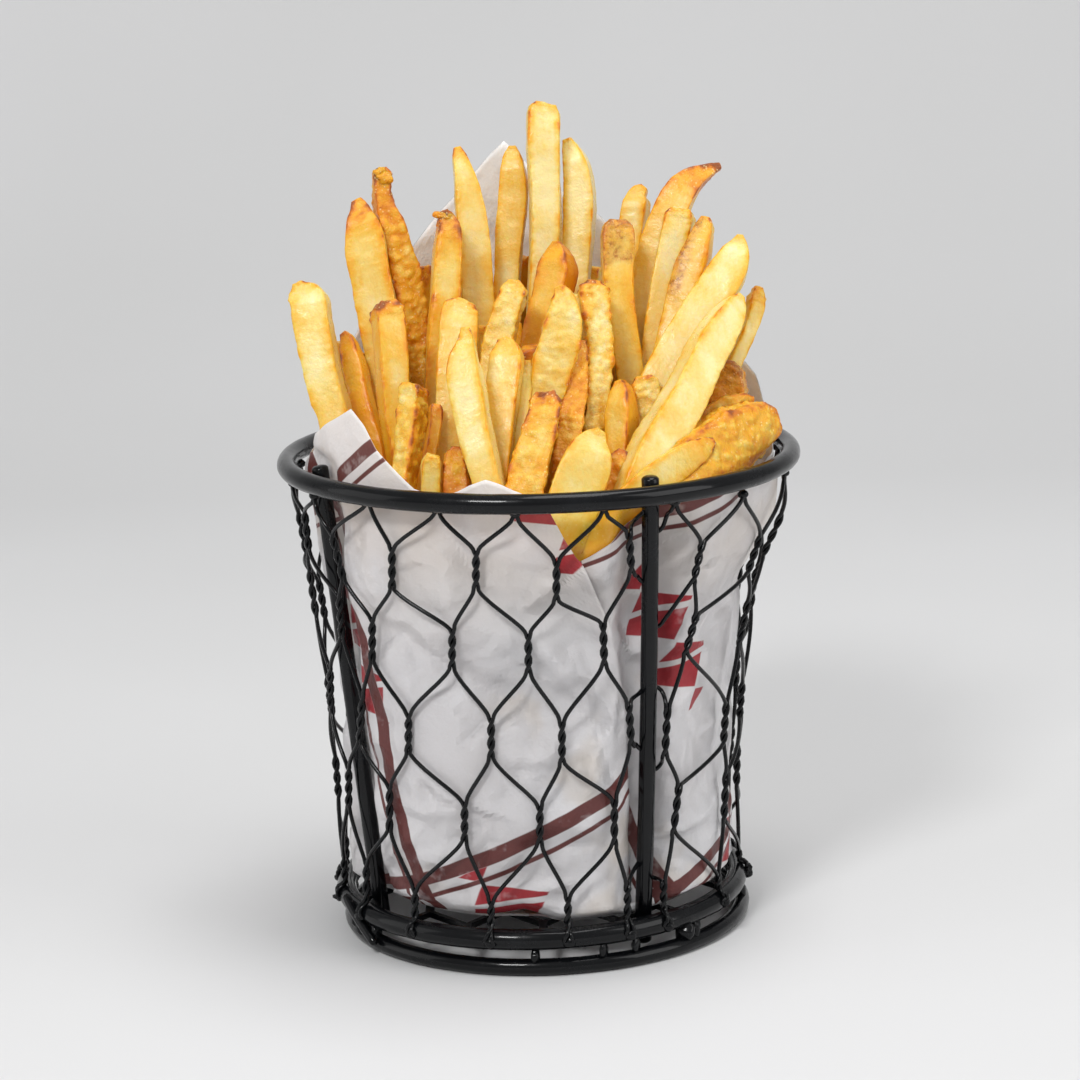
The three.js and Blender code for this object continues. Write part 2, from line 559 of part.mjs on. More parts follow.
const rim = piece(basket, 'rim_ring', ringGeometry(RIM.r, RIM.wire, 40), metal());
rim.position.set(0, 0, RIM.z);
rim.rotation.y = RIM.lean;
piece(basket, 'base_ring_upper', ringGeometry(UPPER.r, UPPER.wire, 40), metal()).position.set(UPPER.x, 0, UPPER.z);
piece(basket, 'base_ring_lower', ringGeometry(LOWER.r, LOWER.wire, 40), metal()).position.set(LOWER.x, 0, LOWER.wire);
RODS.forEach((rod, i) => piece(basket, `upright_${i + 1}`, rodGeometry(rod), metal()));
LINKS.forEach((azimuth, i) => piece(basket, `ring_link_${i + 1}`, linkGeometry(azimuth), metal()));
piece(basket, 'wire_net', wallNet(), metal());
piece(basket, 'floor_net', floorNet(), metal());
piece(portion, 'paper_liner', paperGeometry(), new THREE.MeshStandardMaterial({ color: 0xe4e0da, roughness: 0.62 }));
piece(portion, 'fries', friesGeometry(), new THREE.MeshStandardMaterial({ color: 0xe2b04a, roughness: 0.5 }));

const whole = new THREE.Group();
whole.add(basket, portion);
export default whole;
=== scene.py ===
import math

import bpy
import numpy as np
from mathutils import Matrix, Vector
from mathutils.geometry import delaunay_2d_cdt


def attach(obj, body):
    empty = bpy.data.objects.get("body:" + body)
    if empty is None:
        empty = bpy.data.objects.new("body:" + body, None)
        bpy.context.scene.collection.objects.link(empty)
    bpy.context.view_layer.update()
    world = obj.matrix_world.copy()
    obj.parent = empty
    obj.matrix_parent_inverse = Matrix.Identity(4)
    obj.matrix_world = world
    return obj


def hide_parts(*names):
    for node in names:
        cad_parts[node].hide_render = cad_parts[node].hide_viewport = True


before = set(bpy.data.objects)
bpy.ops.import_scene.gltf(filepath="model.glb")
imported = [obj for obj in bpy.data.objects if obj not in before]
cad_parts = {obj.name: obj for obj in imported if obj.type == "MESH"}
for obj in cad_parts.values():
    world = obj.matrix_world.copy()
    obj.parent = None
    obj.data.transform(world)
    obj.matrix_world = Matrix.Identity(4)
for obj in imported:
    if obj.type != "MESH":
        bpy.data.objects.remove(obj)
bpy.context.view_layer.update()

# A portion of french fries in a round wire basket lined with greaseproof paper.
# Lengths in the tables are millimetres, +Z up, -Y the front; azimuths are degrees from the front towards +X.
MM = 0.001
RIM_R, RIM_WIRE, RIM_Z, RIM_LEAN = 55.0, 2.18, 104.27, 0.0095
UP_R, UP_WIRE, UP_Z, UP_X = 43.75, 2.33, 8.04, -2.72
LO_R, LO_WIRE, LO_Z, LO_X = 43.61, 1.86, 1.86, -1.71
ROD_WIRE, ROD_BOTTOM, ROD_TOP, ROD_IN_TOP, ROD_IN_BOTTOM = 1.85, 3.0, 107.1, 50.67, 38.55
RODS = [(-67, -65), (26.5, 33.7), (115, 117), (-155, -153)]
STRAND = 0.46
COLUMNS = 18

FRIES = [
    ("f01", {'kind': 'pale', 'cut': -0.35},
     [(-49.9, -4.0, 144.2, 3.0), (-48.7, -4.6, 142.7, 7.3), (-47.7, -5.3, 140.8, 9.4), (-47.1, -6.7, 136.7, 9.3), (-46.4, -8.3, 132.1, 9.2), (-45.2, -10.6, 125.2, 9.0), (-44.0, -12.4, 120.1, 9.0), (-42.7, -14.0, 115.5, 8.8), (-41.1, -15.5, 108.9, 8.8), (-39.6, -16.4, 102.1, 8.8), (-38.2, -17.0, 95.3, 8.8), (-36.9, -17.2, 88.4, 8.8)]),
    ("f02", {'kind': 'amber'},
     [(-41.4, 4.0, 131.8, 2.2), (-40.6, 3.3, 130.4, 3.7), (-40.0, 2.2, 128.1, 5.0), (-39.3, 0.8, 124.8, 5.7), (-38.5, -1.1, 120.6, 5.7), (-37.3, -3.3, 115.7, 5.6), (-35.5, -6.0, 109.9, 5.6), (-34.4, -7.8, 104.3, 5.6), (-33.6, -9.1, 98.5, 5.6), (-33.1, -10.0, 92.6, 5.6)]),
    ("f03", {'kind': 'gold', 'tipb': 0.7},
     [(-37.7, 13.9, 159.7, 2.6), (-37.2, 13.6, 158.2, 4.2), (-36.8, 13.1, 155.8, 6.6), (-36.2, 12.4, 152.5, 8.8), (-36.0, 11.6, 148.7, 9.7), (-35.3, 10.6, 143.7, 9.4), (-34.4, 9.5, 138.3, 9.7), (-33.1, 8.0, 130.7, 9.7), (-32.3, 7.0, 124.0, 9.7), (-31.8, 6.3, 117.3, 9.7), (-31.4, 5.8, 110.5, 9.7), (-31.1, 5.4, 103.7, 9.7), (-30.9, 5.2, 96.9, 9.7)]),
    ("f04", {'kind': 'dark', 'blister': 1.0},
     [(-32.4, 19.1, 166.0, 3.1), (-32.3, 18.9, 164.9, 4.8), (-32.5, 18.7, 163.2, 4.6), (-32.6, 18.4, 161.2, 4.6), (-32.3, 18.1, 158.8, 5.1), (-31.7, 17.7, 156.2, 6.0), (-30.7, 17.2, 153.1, 7.1), (-29.9, 16.7, 149.8, 7.5), (-29.0, 16.2, 146.1, 7.7), (-28.0, 15.5, 141.7, 8.0), (-27.3, 14.8, 136.8, 8.0), (-27.1, 13.9, 130.7, 7.5), (-27.2, 13.0, 124.2, 7.1), (-27.4, 12.0, 117.6, 6.6), (-27.6, 11.3, 111.0, 6.6), (-27.6, 10.8, 104.3, 6.6), (-27.7, 10.5, 97.7, 6.6)]),
    ("f05", {'kind': 'gold', 'tipb': 0.5, 'cut': 0.05},
     [(-31.1, -12.0, 140.4, 5.5), (-31.0, -12.3, 139.2, 7.5), (-30.9, -13.2, 135.9, 7.9), (-30.6, -14.7, 129.7, 7.9), (-30.4, -16.5, 122.8, 7.7), (-30.0, -18.1, 116.2, 7.7), (-29.0, -20.0, 108.9, 7.2), (-28.5, -21.3, 101.8, 7.2), (-28.1, -22.2, 94.5, 7.2), (-27.9, -22.9, 87.2, 7.2)]),
    ("f06", {'kind': 'gold', 'tipb': 0.9, 'skin': 0.45},
     [(-18.9, 12.0, 156.6, 2.6), (-18.3, 11.7, 155.3, 4.4), (-17.9, 11.2, 153.3, 5.7), (-18.1, 10.3, 149.7, 6.8), (-18.6, 9.1, 144.8, 7.2), (-19.1, 7.4, 138.0, 7.4), (-19.8, 5.6, 130.6, 7.7), (-20.6, 3.8, 123.1, 7.7), (-21.3, 2.0, 115.7, 7.7), (-21.9, 0.6, 107.8, 7.7), (-22.3, -0.4, 99.9, 7.7), (-22.6, -1.1, 92.0, 7.7)]),
    ("f07", {'kind': 'pale'},
     [(-15.6, 26.0, 169.2, 2.0), (-15.3, 25.7, 167.8, 3.3), (-14.8, 25.3, 165.4, 4.5), (-14.2, 24.6, 162.3, 5.8), (-13.6, 23.8, 158.0, 7.1), (-13.1, 22.8, 153.1, 8.0), (-12.8, 21.6, 147.0, 8.4), (-12.7, 20.4, 140.5, 8.5), (-12.5, 19.0, 133.5, 8.5), (-12.3, 18.0, 126.0, 8.5), (-12.2, 17.2, 118.6, 8.5), (-12.1, 16.7, 111.1, 8.5), (-12.1, 16.3, 103.6, 8.5)]),
    ("f08", {'kind': 'pale'},
     [(-3.2, 33.0, 168.4, 2.0), (-3.3, 32.7, 167.0, 3.8), (-3.3, 32.2, 164.6, 5.4), (-3.3, 31.6, 161.2, 6.5), (-3.6, 30.7, 156.4, 7.0), (-4.4, 29.5, 150.7, 7.0), (-5.0, 28.5, 145.5, 6.5), (-5.6, 27.2, 138.9, 6.3), (-6.3, 26.0, 132.7, 6.3), (-6.8, 25.1, 126.0, 6.3), (-7.1, 24.4, 119.2, 6.3), (-7.3, 23.9, 112.5, 6.3), (-7.5, 23.5, 105.7, 6.3), (-7.7, 23.3, 98.9, 6.3)]),
    ("f09", {'kind': 'vpale', 'cut': 0.08},
     [(4.4, 30.0, 177.7, 5.8), (4.1, 29.8, 176.8, 7.4), (3.9, 29.2, 174.4, 7.9), (3.7, 28.1, 169.8, 8.1), (3.6, 26.7, 163.7, 7.8), (3.6, 25.0, 156.8, 7.4), (3.3, 23.5, 150.2, 7.1), (2.8, 21.9, 143.7, 7.1), (2.1, 20.0, 135.5, 7.1), (1.7, 18.9, 129.1, 7.1), (1.4, 18.1, 122.7, 7.1), (1.2, 17.6, 116.2, 7.1), (1.1, 17.2, 109.7, 7.1)]),
    ("f10", {'kind': 'vpale'},
     [(9.1, 34.0, 169.6, 2.5), (9.9, 33.5, 167.5, 4.5), (10.9, 32.7, 164.4, 6.5), (11.4, 31.6, 159.8, 7.4), (11.4, 30.5, 155.0, 7.9), (11.0, 29.1, 149.3, 7.6), (10.3, 27.6, 142.8, 7.4), (9.6, 26.0, 136.2, 7.2), (9.1, 24.9, 129.5, 7.2), (8.7, 24.0, 122.8, 7.2), (8.4, 23.4, 116.0, 7.2), (8.2, 23.0, 109.2, 7.2), (8.1, 22.7, 102.4, 7.2)]),
    ("f11", {'kind': 'gold', 'tipb': 0.25},
     [(25.8, 27.0, 158.8, 2.7), (24.5, 26.6, 157.6, 5.1), (23.9, 26.2, 155.7, 6.9), (23.3, 25.6, 152.8, 7.2), (22.5, 24.6, 148.5, 7.2), (21.4, 23.4, 142.9, 7.1), (20.2, 22.0, 136.8, 7.1), (19.3, 20.9, 129.8, 7.1), (18.6, 20.1, 122.6, 7.1), (18.1, 19.5, 115.5, 7.1), (17.7, 19.1, 108.3, 7.1), (17.5, 18.8, 101.1, 7.1)]),
    ("f12", {'kind': 'amber', 'tipb': 1.0},
     [(42.3, 21.4, 163.5, 1.8), (40.6, 21.0, 162.9, 2.9), (38.6, 20.5, 162.0, 4.4), (36.3, 20.0, 160.7, 6.4), (34.1, 19.4, 158.7, 8.0), (32.2, 18.6, 155.7, 8.6), (30.3, 17.8, 151.9, 8.8), (28.3, 16.7, 147.0, 8.8), (26.5, 15.5, 141.7, 8.8), (24.8, 14.1, 135.0, 8.8), (23.2, 12.5, 127.9, 8.8), (22.1, 11.6, 121.6, 8.8), (21.3, 10.9, 115.2, 8.8), (20.8, 10.4, 108.7, 8.8), (20.4, 10.0, 102.3, 8.8)]),
    ("f13", {'kind': 'yellow'},
     [(33.12, 13.00, 154.97, 6.14), (32.85, 12.73, 153.91, 7.46), (32.06, 11.87, 150.52, 8.11), (30.21, 10.53, 145.46, 7.23), (28.7, 9.0, 140.5, 6.3), (27.6, 7.5, 134.9, 6.1), (26.2, 5.9, 127.7, 6.1), (25.3, 4.9, 120.8, 6.1), (24.6, 4.2, 113.9, 6.1), (24.1, 3.7, 106.9, 6.1), (23.8, 3.3, 100.0, 6.1)]),
    ("f14", {'kind': 'gold', 'skin': 1.0},
     [(38.4, 8.8, 153.5, 2.8), (38.0, 8.2, 151.8, 4.6), (37.1, 7.3, 149.1, 5.9), (35.9, 6.3, 146.0, 7.2), (34.4, 5.1, 142.3, 7.8), (33.0, 3.7, 138.1, 7.8), (31.2, 1.9, 132.5, 7.4), (29.2, -0.1, 126.7, 7.0), (27.5, -1.7, 119.6, 7.0), (26.3, -2.9, 112.3, 7.0), (25.5, -3.8, 104.9, 7.0), (24.8, -4.4, 97.4, 7.0)]),
    ("f15", {'kind': 'pale', 'tipb': 0.2},
     [(45.4, 2.6, 150.0, 1.9), (45.0, 2.0, 148.4, 4.5), (44.0, 0.9, 145.9, 7.4), (42.4, -0.4, 142.9, 8.9), (39.7, -2.2, 139.3, 9.3), (36.5, -4.2, 135.4, 9.3), (33.2, -6.3, 131.2, 9.0), (29.9, -8.5, 126.7, 9.0), (26.8, -10.8, 121.9, 8.6), (24.4, -12.4, 116.7, 8.6), (22.7, -13.7, 111.1, 8.6), (21.4, -14.6, 105.3, 8.6)]),
    ("f16", {'kind': 'pale2', 'tipb': 0.5},
     [(49.5, 10.0, 137.5, 2.6), (49.2, 9.1, 135.9, 4.4), (48.6, 7.7, 133.2, 4.8), (47.3, 6.0, 130.0, 4.6), (45.6, 4.0, 126.6, 4.4), (43.6, 2.0, 123.2, 4.4), (40.8, -0.6, 116.8, 4.4), (38.5, -2.4, 109.9, 4.4), (36.7, -3.8, 102.7, 4.4), (35.3, -4.7, 95.4, 4.4)]),
    ("f17", {'kind': 'vpale'},
     [(44.1, -8.0, 138.4, 2.6), (43.2, -9.1, 137.1, 5.3), (41.1, -11.2, 134.4, 7.9), (38.8, -13.7, 131.4, 9.2), (36.4, -16.5, 128.1, 9.6), (34.1, -19.4, 124.3, 9.7), (31.6, -22.6, 120.2, 10.1), (28.8, -25.9, 116.4, 10.5), (25.8, -29.2, 112.4, 10.9), (22.7, -33.0, 107.9, 10.8), (20.3, -35.5, 103.0, 10.8), (18.5, -37.1, 97.5, 10.8), (17.0, -38.2, 91.8, 10.8)]),
    ("f18", {'kind': 'gold', 'skin': 1.2, 'skinlen': 0.33},
     [(19.2, 8.0, 153.8, 4.8), (19.1, 7.7, 152.6, 6.8), (19.0, 7.0, 149.8, 7.6), (18.8, 6.0, 145.6, 7.4), (18.6, 4.8, 140.9, 7.0), (19.0, 3.3, 134.5, 6.5), (19.7, 1.7, 128.1, 6.5), (20.5, 0.0, 121.1, 6.5), (21.2, -1.4, 113.2, 6.5), (21.6, -2.4, 105.3, 6.5), (22.0, -3.1, 97.4, 6.5)]),
    ("f19", {'kind': 'amber'},
     [(5.8, 10.0, 149.2, 2.6), (5.8, 9.6, 147.8, 5.5), (5.8, 8.9, 145.7, 8.1), (5.6, 8.2, 143.2, 9.6), (4.5, 6.9, 139.2, 9.2), (3.0, 5.5, 134.8, 8.7), (1.3, 3.8, 129.4, 8.3), (-0.3, 2.0, 123.8, 8.1), (-1.6, 0.6, 117.5, 8.1), (-2.5, -0.4, 111.2, 8.1), (-3.2, -1.1, 104.8, 8.1), (-3.7, -1.6, 98.3, 8.1)]),
    ("f20", {'kind': 'gold', 'blister': 1.0, 'tipb': 0.2},
     [(13.0, -5.6, 142.3, 3.9), (12.9, -6.1, 141.0, 6.4), (13.0, -7.6, 137.8, 7.1), (13.5, -9.4, 133.7, 6.6), (13.5, -11.7, 128.6, 6.2), (13.2, -14.5, 122.6, 6.0), (12.6, -16.8, 117.6, 5.8), (11.5, -19.1, 112.7, 5.5), (10.8, -21.1, 106.4, 5.5), (10.2, -22.6, 99.9, 5.5), (9.8, -23.7, 93.3, 5.5)]),
    ("f21", {'kind': 'gold', 'blister': 0.5},
     [(5.6, -15.3, 142.8, 2.3), (6.2, -15.6, 141.3, 4.2), (6.5, -15.9, 139.2, 6.1), (6.4, -16.4, 136.0, 7.8), (5.7, -17.0, 132.7, 8.7), (4.4, -17.7, 128.8, 8.9), (3.2, -18.4, 124.7, 8.3), (2.2, -19.2, 120.1, 7.8), (1.2, -20.0, 115.4, 7.6), (0.1, -20.9, 108.2, 7.6), (-0.8, -21.5, 100.9, 7.6), (-1.4, -21.9, 93.6, 7.6)]),
    ("f22", {'kind': 'gold', 'blister': 0.6, 'tipb': 0.3},
     [(-3.8, -5.0, 142.9, 3.4), (-4.0, -5.5, 141.6, 5.6), (-4.5, -6.3, 139.3, 6.0), (-5.7, -7.4, 136.3, 6.7), (-7.1, -8.9, 132.2, 7.1), (-8.2, -10.8, 127.1, 7.3), (-9.5, -13.0, 121.0, 7.3), (-10.4, -14.6, 114.8, 7.3), (-11.1, -15.7, 108.5, 7.3), (-11.5, -16.6, 102.0, 7.3), (-11.9, -17.2, 95.6, 7.3)]),
    ("f23", {'kind': 'gold', 'cut': -0.08},
     [(-15.0, -6.0, 138.8, 6.0), (-15.4, -6.6, 137.4, 8.4), (-15.9, -8.2, 133.5, 9.0), (-16.4, -10.7, 127.4, 9.2), (-17.1, -14.0, 119.3, 9.2), (-17.5, -15.8, 113.1, 9.2), (-17.8, -17.1, 106.7, 9.2), (-18.0, -18.1, 100.3, 9.2), (-18.1, -18.7, 93.8, 9.2)]),
    ("f24", {'kind': 'pale', 'ridge': 1.0},
     [(-14.2, -31.0, 136.8, 2.3), (-14.2, -31.6, 135.2, 3.5), (-14.5, -32.4, 132.8, 5.4), (-14.9, -33.2, 130.5, 7.2), (-14.9, -34.1, 127.9, 8.3), (-14.4, -35.5, 123.9, 8.5), (-13.6, -37.2, 118.9, 8.3), (-12.6, -39.0, 114.0, 8.1), (-11.6, -40.4, 110.0, 7.8), (-10.6, -42.0, 105.6, 7.4), (-9.4, -43.4, 98.8, 7.4), (-8.5, -43.9, 92.0, 7.4)]),
    ("f25", {'kind': 'gold'},
     [(-6.5, -20.0, 132.7, 3.0), (-6.1, -20.6, 131.4, 5.7), (-6.0, -21.6, 129.2, 7.8), (-6.5, -23.1, 125.6, 8.2), (-7.2, -25.2, 120.8, 8.0), (-7.9, -27.4, 115.9, 7.5), (-8.5, -29.7, 110.6, 6.9), (-9.1, -32.0, 105.5, 6.5), (-9.6, -33.8, 99.8, 6.5), (-9.9, -35.1, 94.0, 6.5), (-10.2, -36.0, 88.0, 6.5)]),
    ("f26", {'kind': 'gold', 'blister': 0.9, 'cut': -0.16},
     [(-25.8, -28.0, 124.8, 6.1), (-25.9, -28.6, 123.4, 6.9), (-26.4, -30.4, 119.3, 6.8), (-27.1, -32.6, 114.4, 6.5), (-27.9, -34.8, 109.5, 6.2), (-28.7, -37.0, 104.7, 6.0), (-29.1, -38.9, 96.9, 6.0), (-29.1, -39.8, 89.0, 6.0)]),
    ("f27", {'kind': 'amber'},
     [(-21.4, -19.8, 119.2, 2.8), (-21.5, -20.7, 117.8, 3.6), (-21.9, -22.8, 114.6, 3.6), (-22.6, -24.9, 111.3, 3.4), (-23.4, -26.7, 108.5, 3.4), (-24.5, -29.9, 101.2, 3.4), (-25.3, -32.2, 93.6, 3.4), (-25.6, -33.6, 85.7, 3.4)]),
    ("f28", {'kind': 'vpale'},
     [(-21.9, -39.9, 112.0, 3.3), (-22.2, -39.9, 110.9, 4.1), (-22.5, -39.8, 108.2, 4.3), (-22.8, -39.7, 104.6, 4.5), (-23.0, -39.1, 97.9, 4.5), (-22.9, -38.4, 91.3, 4.5), (-22.7, -37.5, 84.7, 4.5)]),
    ("f29", {'kind': 'dark', 'blister': 0.5},
     [(-17.1, -36.2, 113.0, 2.5), (-17.3, -36.5, 111.6, 4.6), (-17.3, -37.2, 109.0, 6.0), (-17.1, -38.4, 104.1, 7.0), (-16.8, -39.4, 97.5, 7.0), (-16.5, -39.8, 90.9, 7.0), (-16.1, -39.7, 84.2, 7.0)]),
    ("f30", {'kind': 'gold', 'blister': 0.8, 'tipb': 0.9, 'cut': 0.03},
     [(1.8, -30.0, 122.3, 5.0), (1.8, -30.6, 121.0, 6.5), (1.2, -32.5, 117.5, 7.1), (0.0, -34.4, 114.1, 7.7), (-1.2, -36.2, 110.9, 8.3), (-2.2, -38.2, 107.1, 8.7), (-3.0, -40.3, 103.3, 8.7), (-3.9, -42.2, 97.7, 8.7), (-4.5, -43.3, 91.8, 8.7)]),
    ("f31", {'kind': 'gold'},
     [(12.8, -36.0, 115.0, 2.5), (11.8, -36.6, 113.8, 5.6), (10.8, -37.4, 111.9, 8.5), (10.0, -38.4, 109.6, 10.3), (8.5, -39.7, 106.3, 11.4), (6.9, -41.5, 102.1, 11.6), (5.5, -43.0, 98.3, 11.1), (4.0, -45.0, 93.5, 9.9), (3.2, -45.8, 89.7, 9.9), (2.5, -46.1, 85.7, 9.9)]),
    ("f32", {'kind': 'gold'},
     [(17.7, -20.9, 123.0, 3.0), (17.9, -21.5, 121.4, 5.5), (17.8, -22.2, 119.4, 7.0), (17.5, -23.6, 115.4, 8.2), (17.3, -25.2, 111.0, 7.6), (17.2, -27.2, 105.3, 7.2), (17.1, -28.6, 99.5, 7.2), (16.9, -29.7, 93.6, 7.2), (16.9, -30.5, 87.7, 7.2)]),
    ("f33", {'kind': 'gold', 'blister': 0.7},
     [(22.8, -15.8, 122.9, 4.3), (23.1, -16.2, 121.5, 6.6), (23.4, -17.2, 118.4, 6.4), (23.6, -18.5, 114.3, 6.4), (23.1, -20.1, 109.2, 6.4), (22.9, -21.6, 102.7, 6.4), (22.7, -22.6, 96.1, 6.4), (22.6, -23.4, 89.5, 6.4)]),
    ("f34", {'kind': 'gold', 'tipb': 0.7},
     [(36.3, -30.0, 111.3, 1.9), (35.2, -30.5, 110.8, 3.8), (33.3, -31.4, 109.9, 5.6), (30.5, -32.7, 108.6, 7.1), (26.6, -34.6, 106.4, 8.1), (21.3, -37.3, 102.7, 8.7), (15.7, -40.5, 98.0, 9.1), (9.8, -44.0, 92.4, 9.1), (7.6, -45.0, 89.2, 9.1), (5.8, -45.5, 85.7, 9.1)]),
    ("f35", {'kind': 'dark', 'skin': 0.9, 'skinlen': 0.5, 'blister': 0.4},
     [(40.92, -2.00, 122.64, 4.34), (41.94, -2.70, 121.61, 6.94), (42.90, -3.79, 119.56, 8.23), (42.98, -4.98, 117.12, 8.66), (41.95, -6.41, 114.32, 8.43), (40.48, -8.00, 111.36, 7.77), (38.07, -10.60, 106.52, 7.77), (35.66, -13.20, 101.68, 7.77), (33.25, -15.80, 96.84, 7.77)]),
    ("f36", {'kind': 'amber', 'blister': 1.0},
     [(51.07, -13.00, 109.88, 8.15), (49.90, -14.12, 109.69, 10.07), (46.66, -17.20, 109.28, 12.37), (42.30, -21.48, 108.49, 13.36), (37.28, -26.59, 107.25, 12.85), (32.29, -32.00, 104.96, 11.50), (28.0, -35.5, 100.0, 11.0), (25.0, -37.5, 93.0, 10.5)]),
    ("f37", {'kind': 'dark', 'blister': 0.8},
     [(10.3, -13.1, 130.5, 1.9), (9.4, -16.1, 126.2, 3.4), (8.3, -20.2, 120.5, 5.1), (7.1, -24.4, 114.8, 5.7), (5.9, -28.1, 109.8, 5.7), (5.0, -31.3, 103.2, 5.7), (4.2, -33.7, 96.3, 5.7), (3.7, -35.4, 89.2, 5.7)]),
    ("f38", {'kind': 'pale'},
     [(-1.8, -18.7, 127.7, 1.9), (-1.9, -19.5, 126.1, 2.5), (-2.3, -21.2, 122.6, 3.0), (-3.0, -23.5, 117.8, 3.0), (-4.0, -26.2, 112.4, 3.0), (-4.9, -28.6, 105.5, 3.0), (-5.5, -30.3, 98.4, 3.0), (-5.9, -31.6, 91.2, 3.0)]),
    ("f39", {'kind': 'dark', 'blister': 0.6},
     [(17.6, -31.1, 109.9, 2.9), (16.7, -31.8, 108.3, 4.4), (15.3, -33.0, 105.0, 4.8), (14.1, -34.2, 101.5, 5.0), (12.3, -35.9, 94.6, 5.0), (10.9, -37.0, 87.5, 5.0), (9.9, -37.7, 80.2, 5.0)]),
    ("f41", {'kind': 'amber', 'blister': 0.4},
     [(46.3, -10.3, 116.3, 2.1), (44.5, -10.8, 116.1, 3.9), (41.4, -11.9, 115.5, 5.6), (38.1, -13.1, 113.7, 6.4), (35.3, -14.4, 110.9, 6.4), (30.9, -16.2, 105.4, 6.4), (27.5, -17.6, 99.1, 6.4), (24.9, -18.6, 92.2, 6.4)]),
]
BEHIND = [
    (6.6, [(4.8, 40.4, 161.4), (3.6, 33.2, 122.7), (2.3, 23.4, 84.0)]),
    (6.9, [(-31.5, 25.0, 147.5), (-31.6, 22.9, 115.8), (-30.3, 23.2, 84.0)]),
    (8.3, [(-26.2, 31.6, 142.0), (-23.4, 30.4, 113.0), (-25.7, 30.6, 84.0)]),
    (7.8, [(13.1, 39.1, 139.8), (10.5, 35.3, 111.9), (9.6, 33.1, 84.0)]),
    (7.3, [(-17.2, 36.9, 140.8), (-18.3, 36.2, 112.4), (-16.0, 35.1, 84.0)]),
    (7.9, [(-3.2, 38.5, 142.8), (-4.5, 40.0, 113.4), (-3.0, 37.2, 84.0)]),
    (7.8, [(35.4, 18.8, 142.2), (30.4, 16.9, 113.1), (23.7, 14.9, 84.0)]),
    (7.5, [(39.8, 10.9, 142.1), (33.4, 6.9, 113.0), (24.9, 7.2, 84.0)]),
    (6.6, [(11.7, 14.7, 138.1), (11.2, 14.3, 111.0), (10.5, 13.5, 84.0)]),
    (6.9, [(33.3, 27.6, 135.5), (33.8, 28.2, 109.8), (32.2, 27.1, 84.0)]),
    (8.5, [(12.1, 7.2, 136.3), (11.3, 5.7, 110.1), (11.4, 6.8, 84.0)]),
    (8.6, [(-13.2, 29.3, 132.1), (-13.2, 29.2, 108.1), (-12.5, 27.9, 84.0)]),
    (7.6, [(10.4, -0.1, 138.5), (8.2, -1.7, 111.2), (9.0, -0.3, 84.0)]),
    (6.9, [(-13.5, 42.5, 127.0), (-13.1, 41.8, 105.5), (-12.3, 40.7, 84.0)]),
    (7.0, [(3.7, 40.9, 126.1), (3.6, 40.4, 105.0), (2.4, 36.9, 84.0)]),
    (8.1, [(-5.4, 15.2, 130.7), (-5.6, 11.4, 107.3), (-4.9, 10.3, 84.0)]),
    (7.5, [(-13.5, 1.7, 132.2), (-11.5, 0.1, 108.1), (-11.1, 1.4, 84.0)]),
    (6.9, [(-24.3, 23.9, 131.6), (-22.3, 20.0, 107.8), (-19.5, 16.1, 84.0)]),
    (7.0, [(-5.2, 32.3, 127.7), (-5.4, 30.3, 105.9), (-3.6, 28.7, 84.0)]),
    (6.7, [(-42.9, 8.9, 129.0), (-41.8, 7.6, 106.5), (-40.5, 7.9, 84.0)]),
    (7.5, [(-39.2, 20.0, 124.7), (-37.3, 18.5, 104.4), (-35.4, 17.6, 84.0)]),
    (6.6, [(-13.6, 9.6, 126.5), (-13.2, 6.7, 105.2), (-10.5, 6.2, 84.0)]),
    (7.9, [(0.5, -10.8, 129.4), (0.5, -9.8, 106.7), (0.5, -10.8, 84.0)]),
    (6.7, [(5.2, 10.7, 129.4), (2.4, 9.9, 106.7), (4.2, 9.6, 84.0)]),
    (8.0, [(-0.3, 26.9, 120.3), (-0.8, 22.3, 102.2), (-1.1, 20.0, 84.0)]),
    (7.7, [(11.5, 43.4, 115.8), (11.5, 41.0, 99.9), (10.1, 38.8, 84.0)]),
    (6.6, [(-34.5, 13.7, 121.4), (-33.7, 12.3, 102.7), (-33.8, 13.3, 84.0)]),
    (7.2, [(19.3, 36.0, 112.4), (18.1, 35.6, 98.2), (18.6, 35.2, 84.0)]),
    (7.4, [(38.5, 16.8, 116.4), (37.2, 16.4, 100.2), (37.2, 16.2, 84.0)]),
    (7.1, [(22.5, 28.9, 112.9), (23.4, 28.6, 98.4), (20.8, 24.5, 84.0)]),
    (7.4, [(-44.4, 0.5, 119.8), (-40.2, -0.2, 101.9), (-36.6, -1.9, 84.0)]),
    (8.6, [(14.9, 29.1, 113.2), (14.9, 27.8, 98.6), (11.7, 26.1, 84.0)]),
    (7.8, [(-29.4, -4.7, 119.1), (-25.9, -5.8, 101.6), (-22.6, -4.9, 84.0)]),
    (7.5, [(-31.8, 32.4, 112.4), (-31.7, 29.0, 98.2), (-29.5, 28.6, 84.0)]),
    (8.8, [(41.9, 5.5, 115.2), (38.4, 7.2, 99.6), (36.6, 4.4, 84.0)]),
    (8.9, [(13.1, -8.0, 117.2), (12.5, -9.1, 100.6), (12.3, -7.7, 84.0)]),
    (6.9, [(-10.3, -6.7, 119.2), (-9.9, -6.3, 101.6), (-9.1, -5.7, 84.0)]),
    (7.2, [(32.6, -6.8, 113.6), (30.5, -8.7, 98.8), (28.5, -6.8, 84.0)]),
    (6.7, [(-14.0, -24.0, 117.1), (-12.5, -22.0, 100.6), (-11.6, -18.8, 84.0)]),
    (7.4, [(-42.4, -6.9, 112.5), (-38.8, -7.3, 98.3), (-34.6, -6.1, 84.0)]),
    (6.6, [(-26.9, -12.0, 114.8), (-26.4, -12.9, 99.4), (-25.4, -11.6, 84.0)]),
]


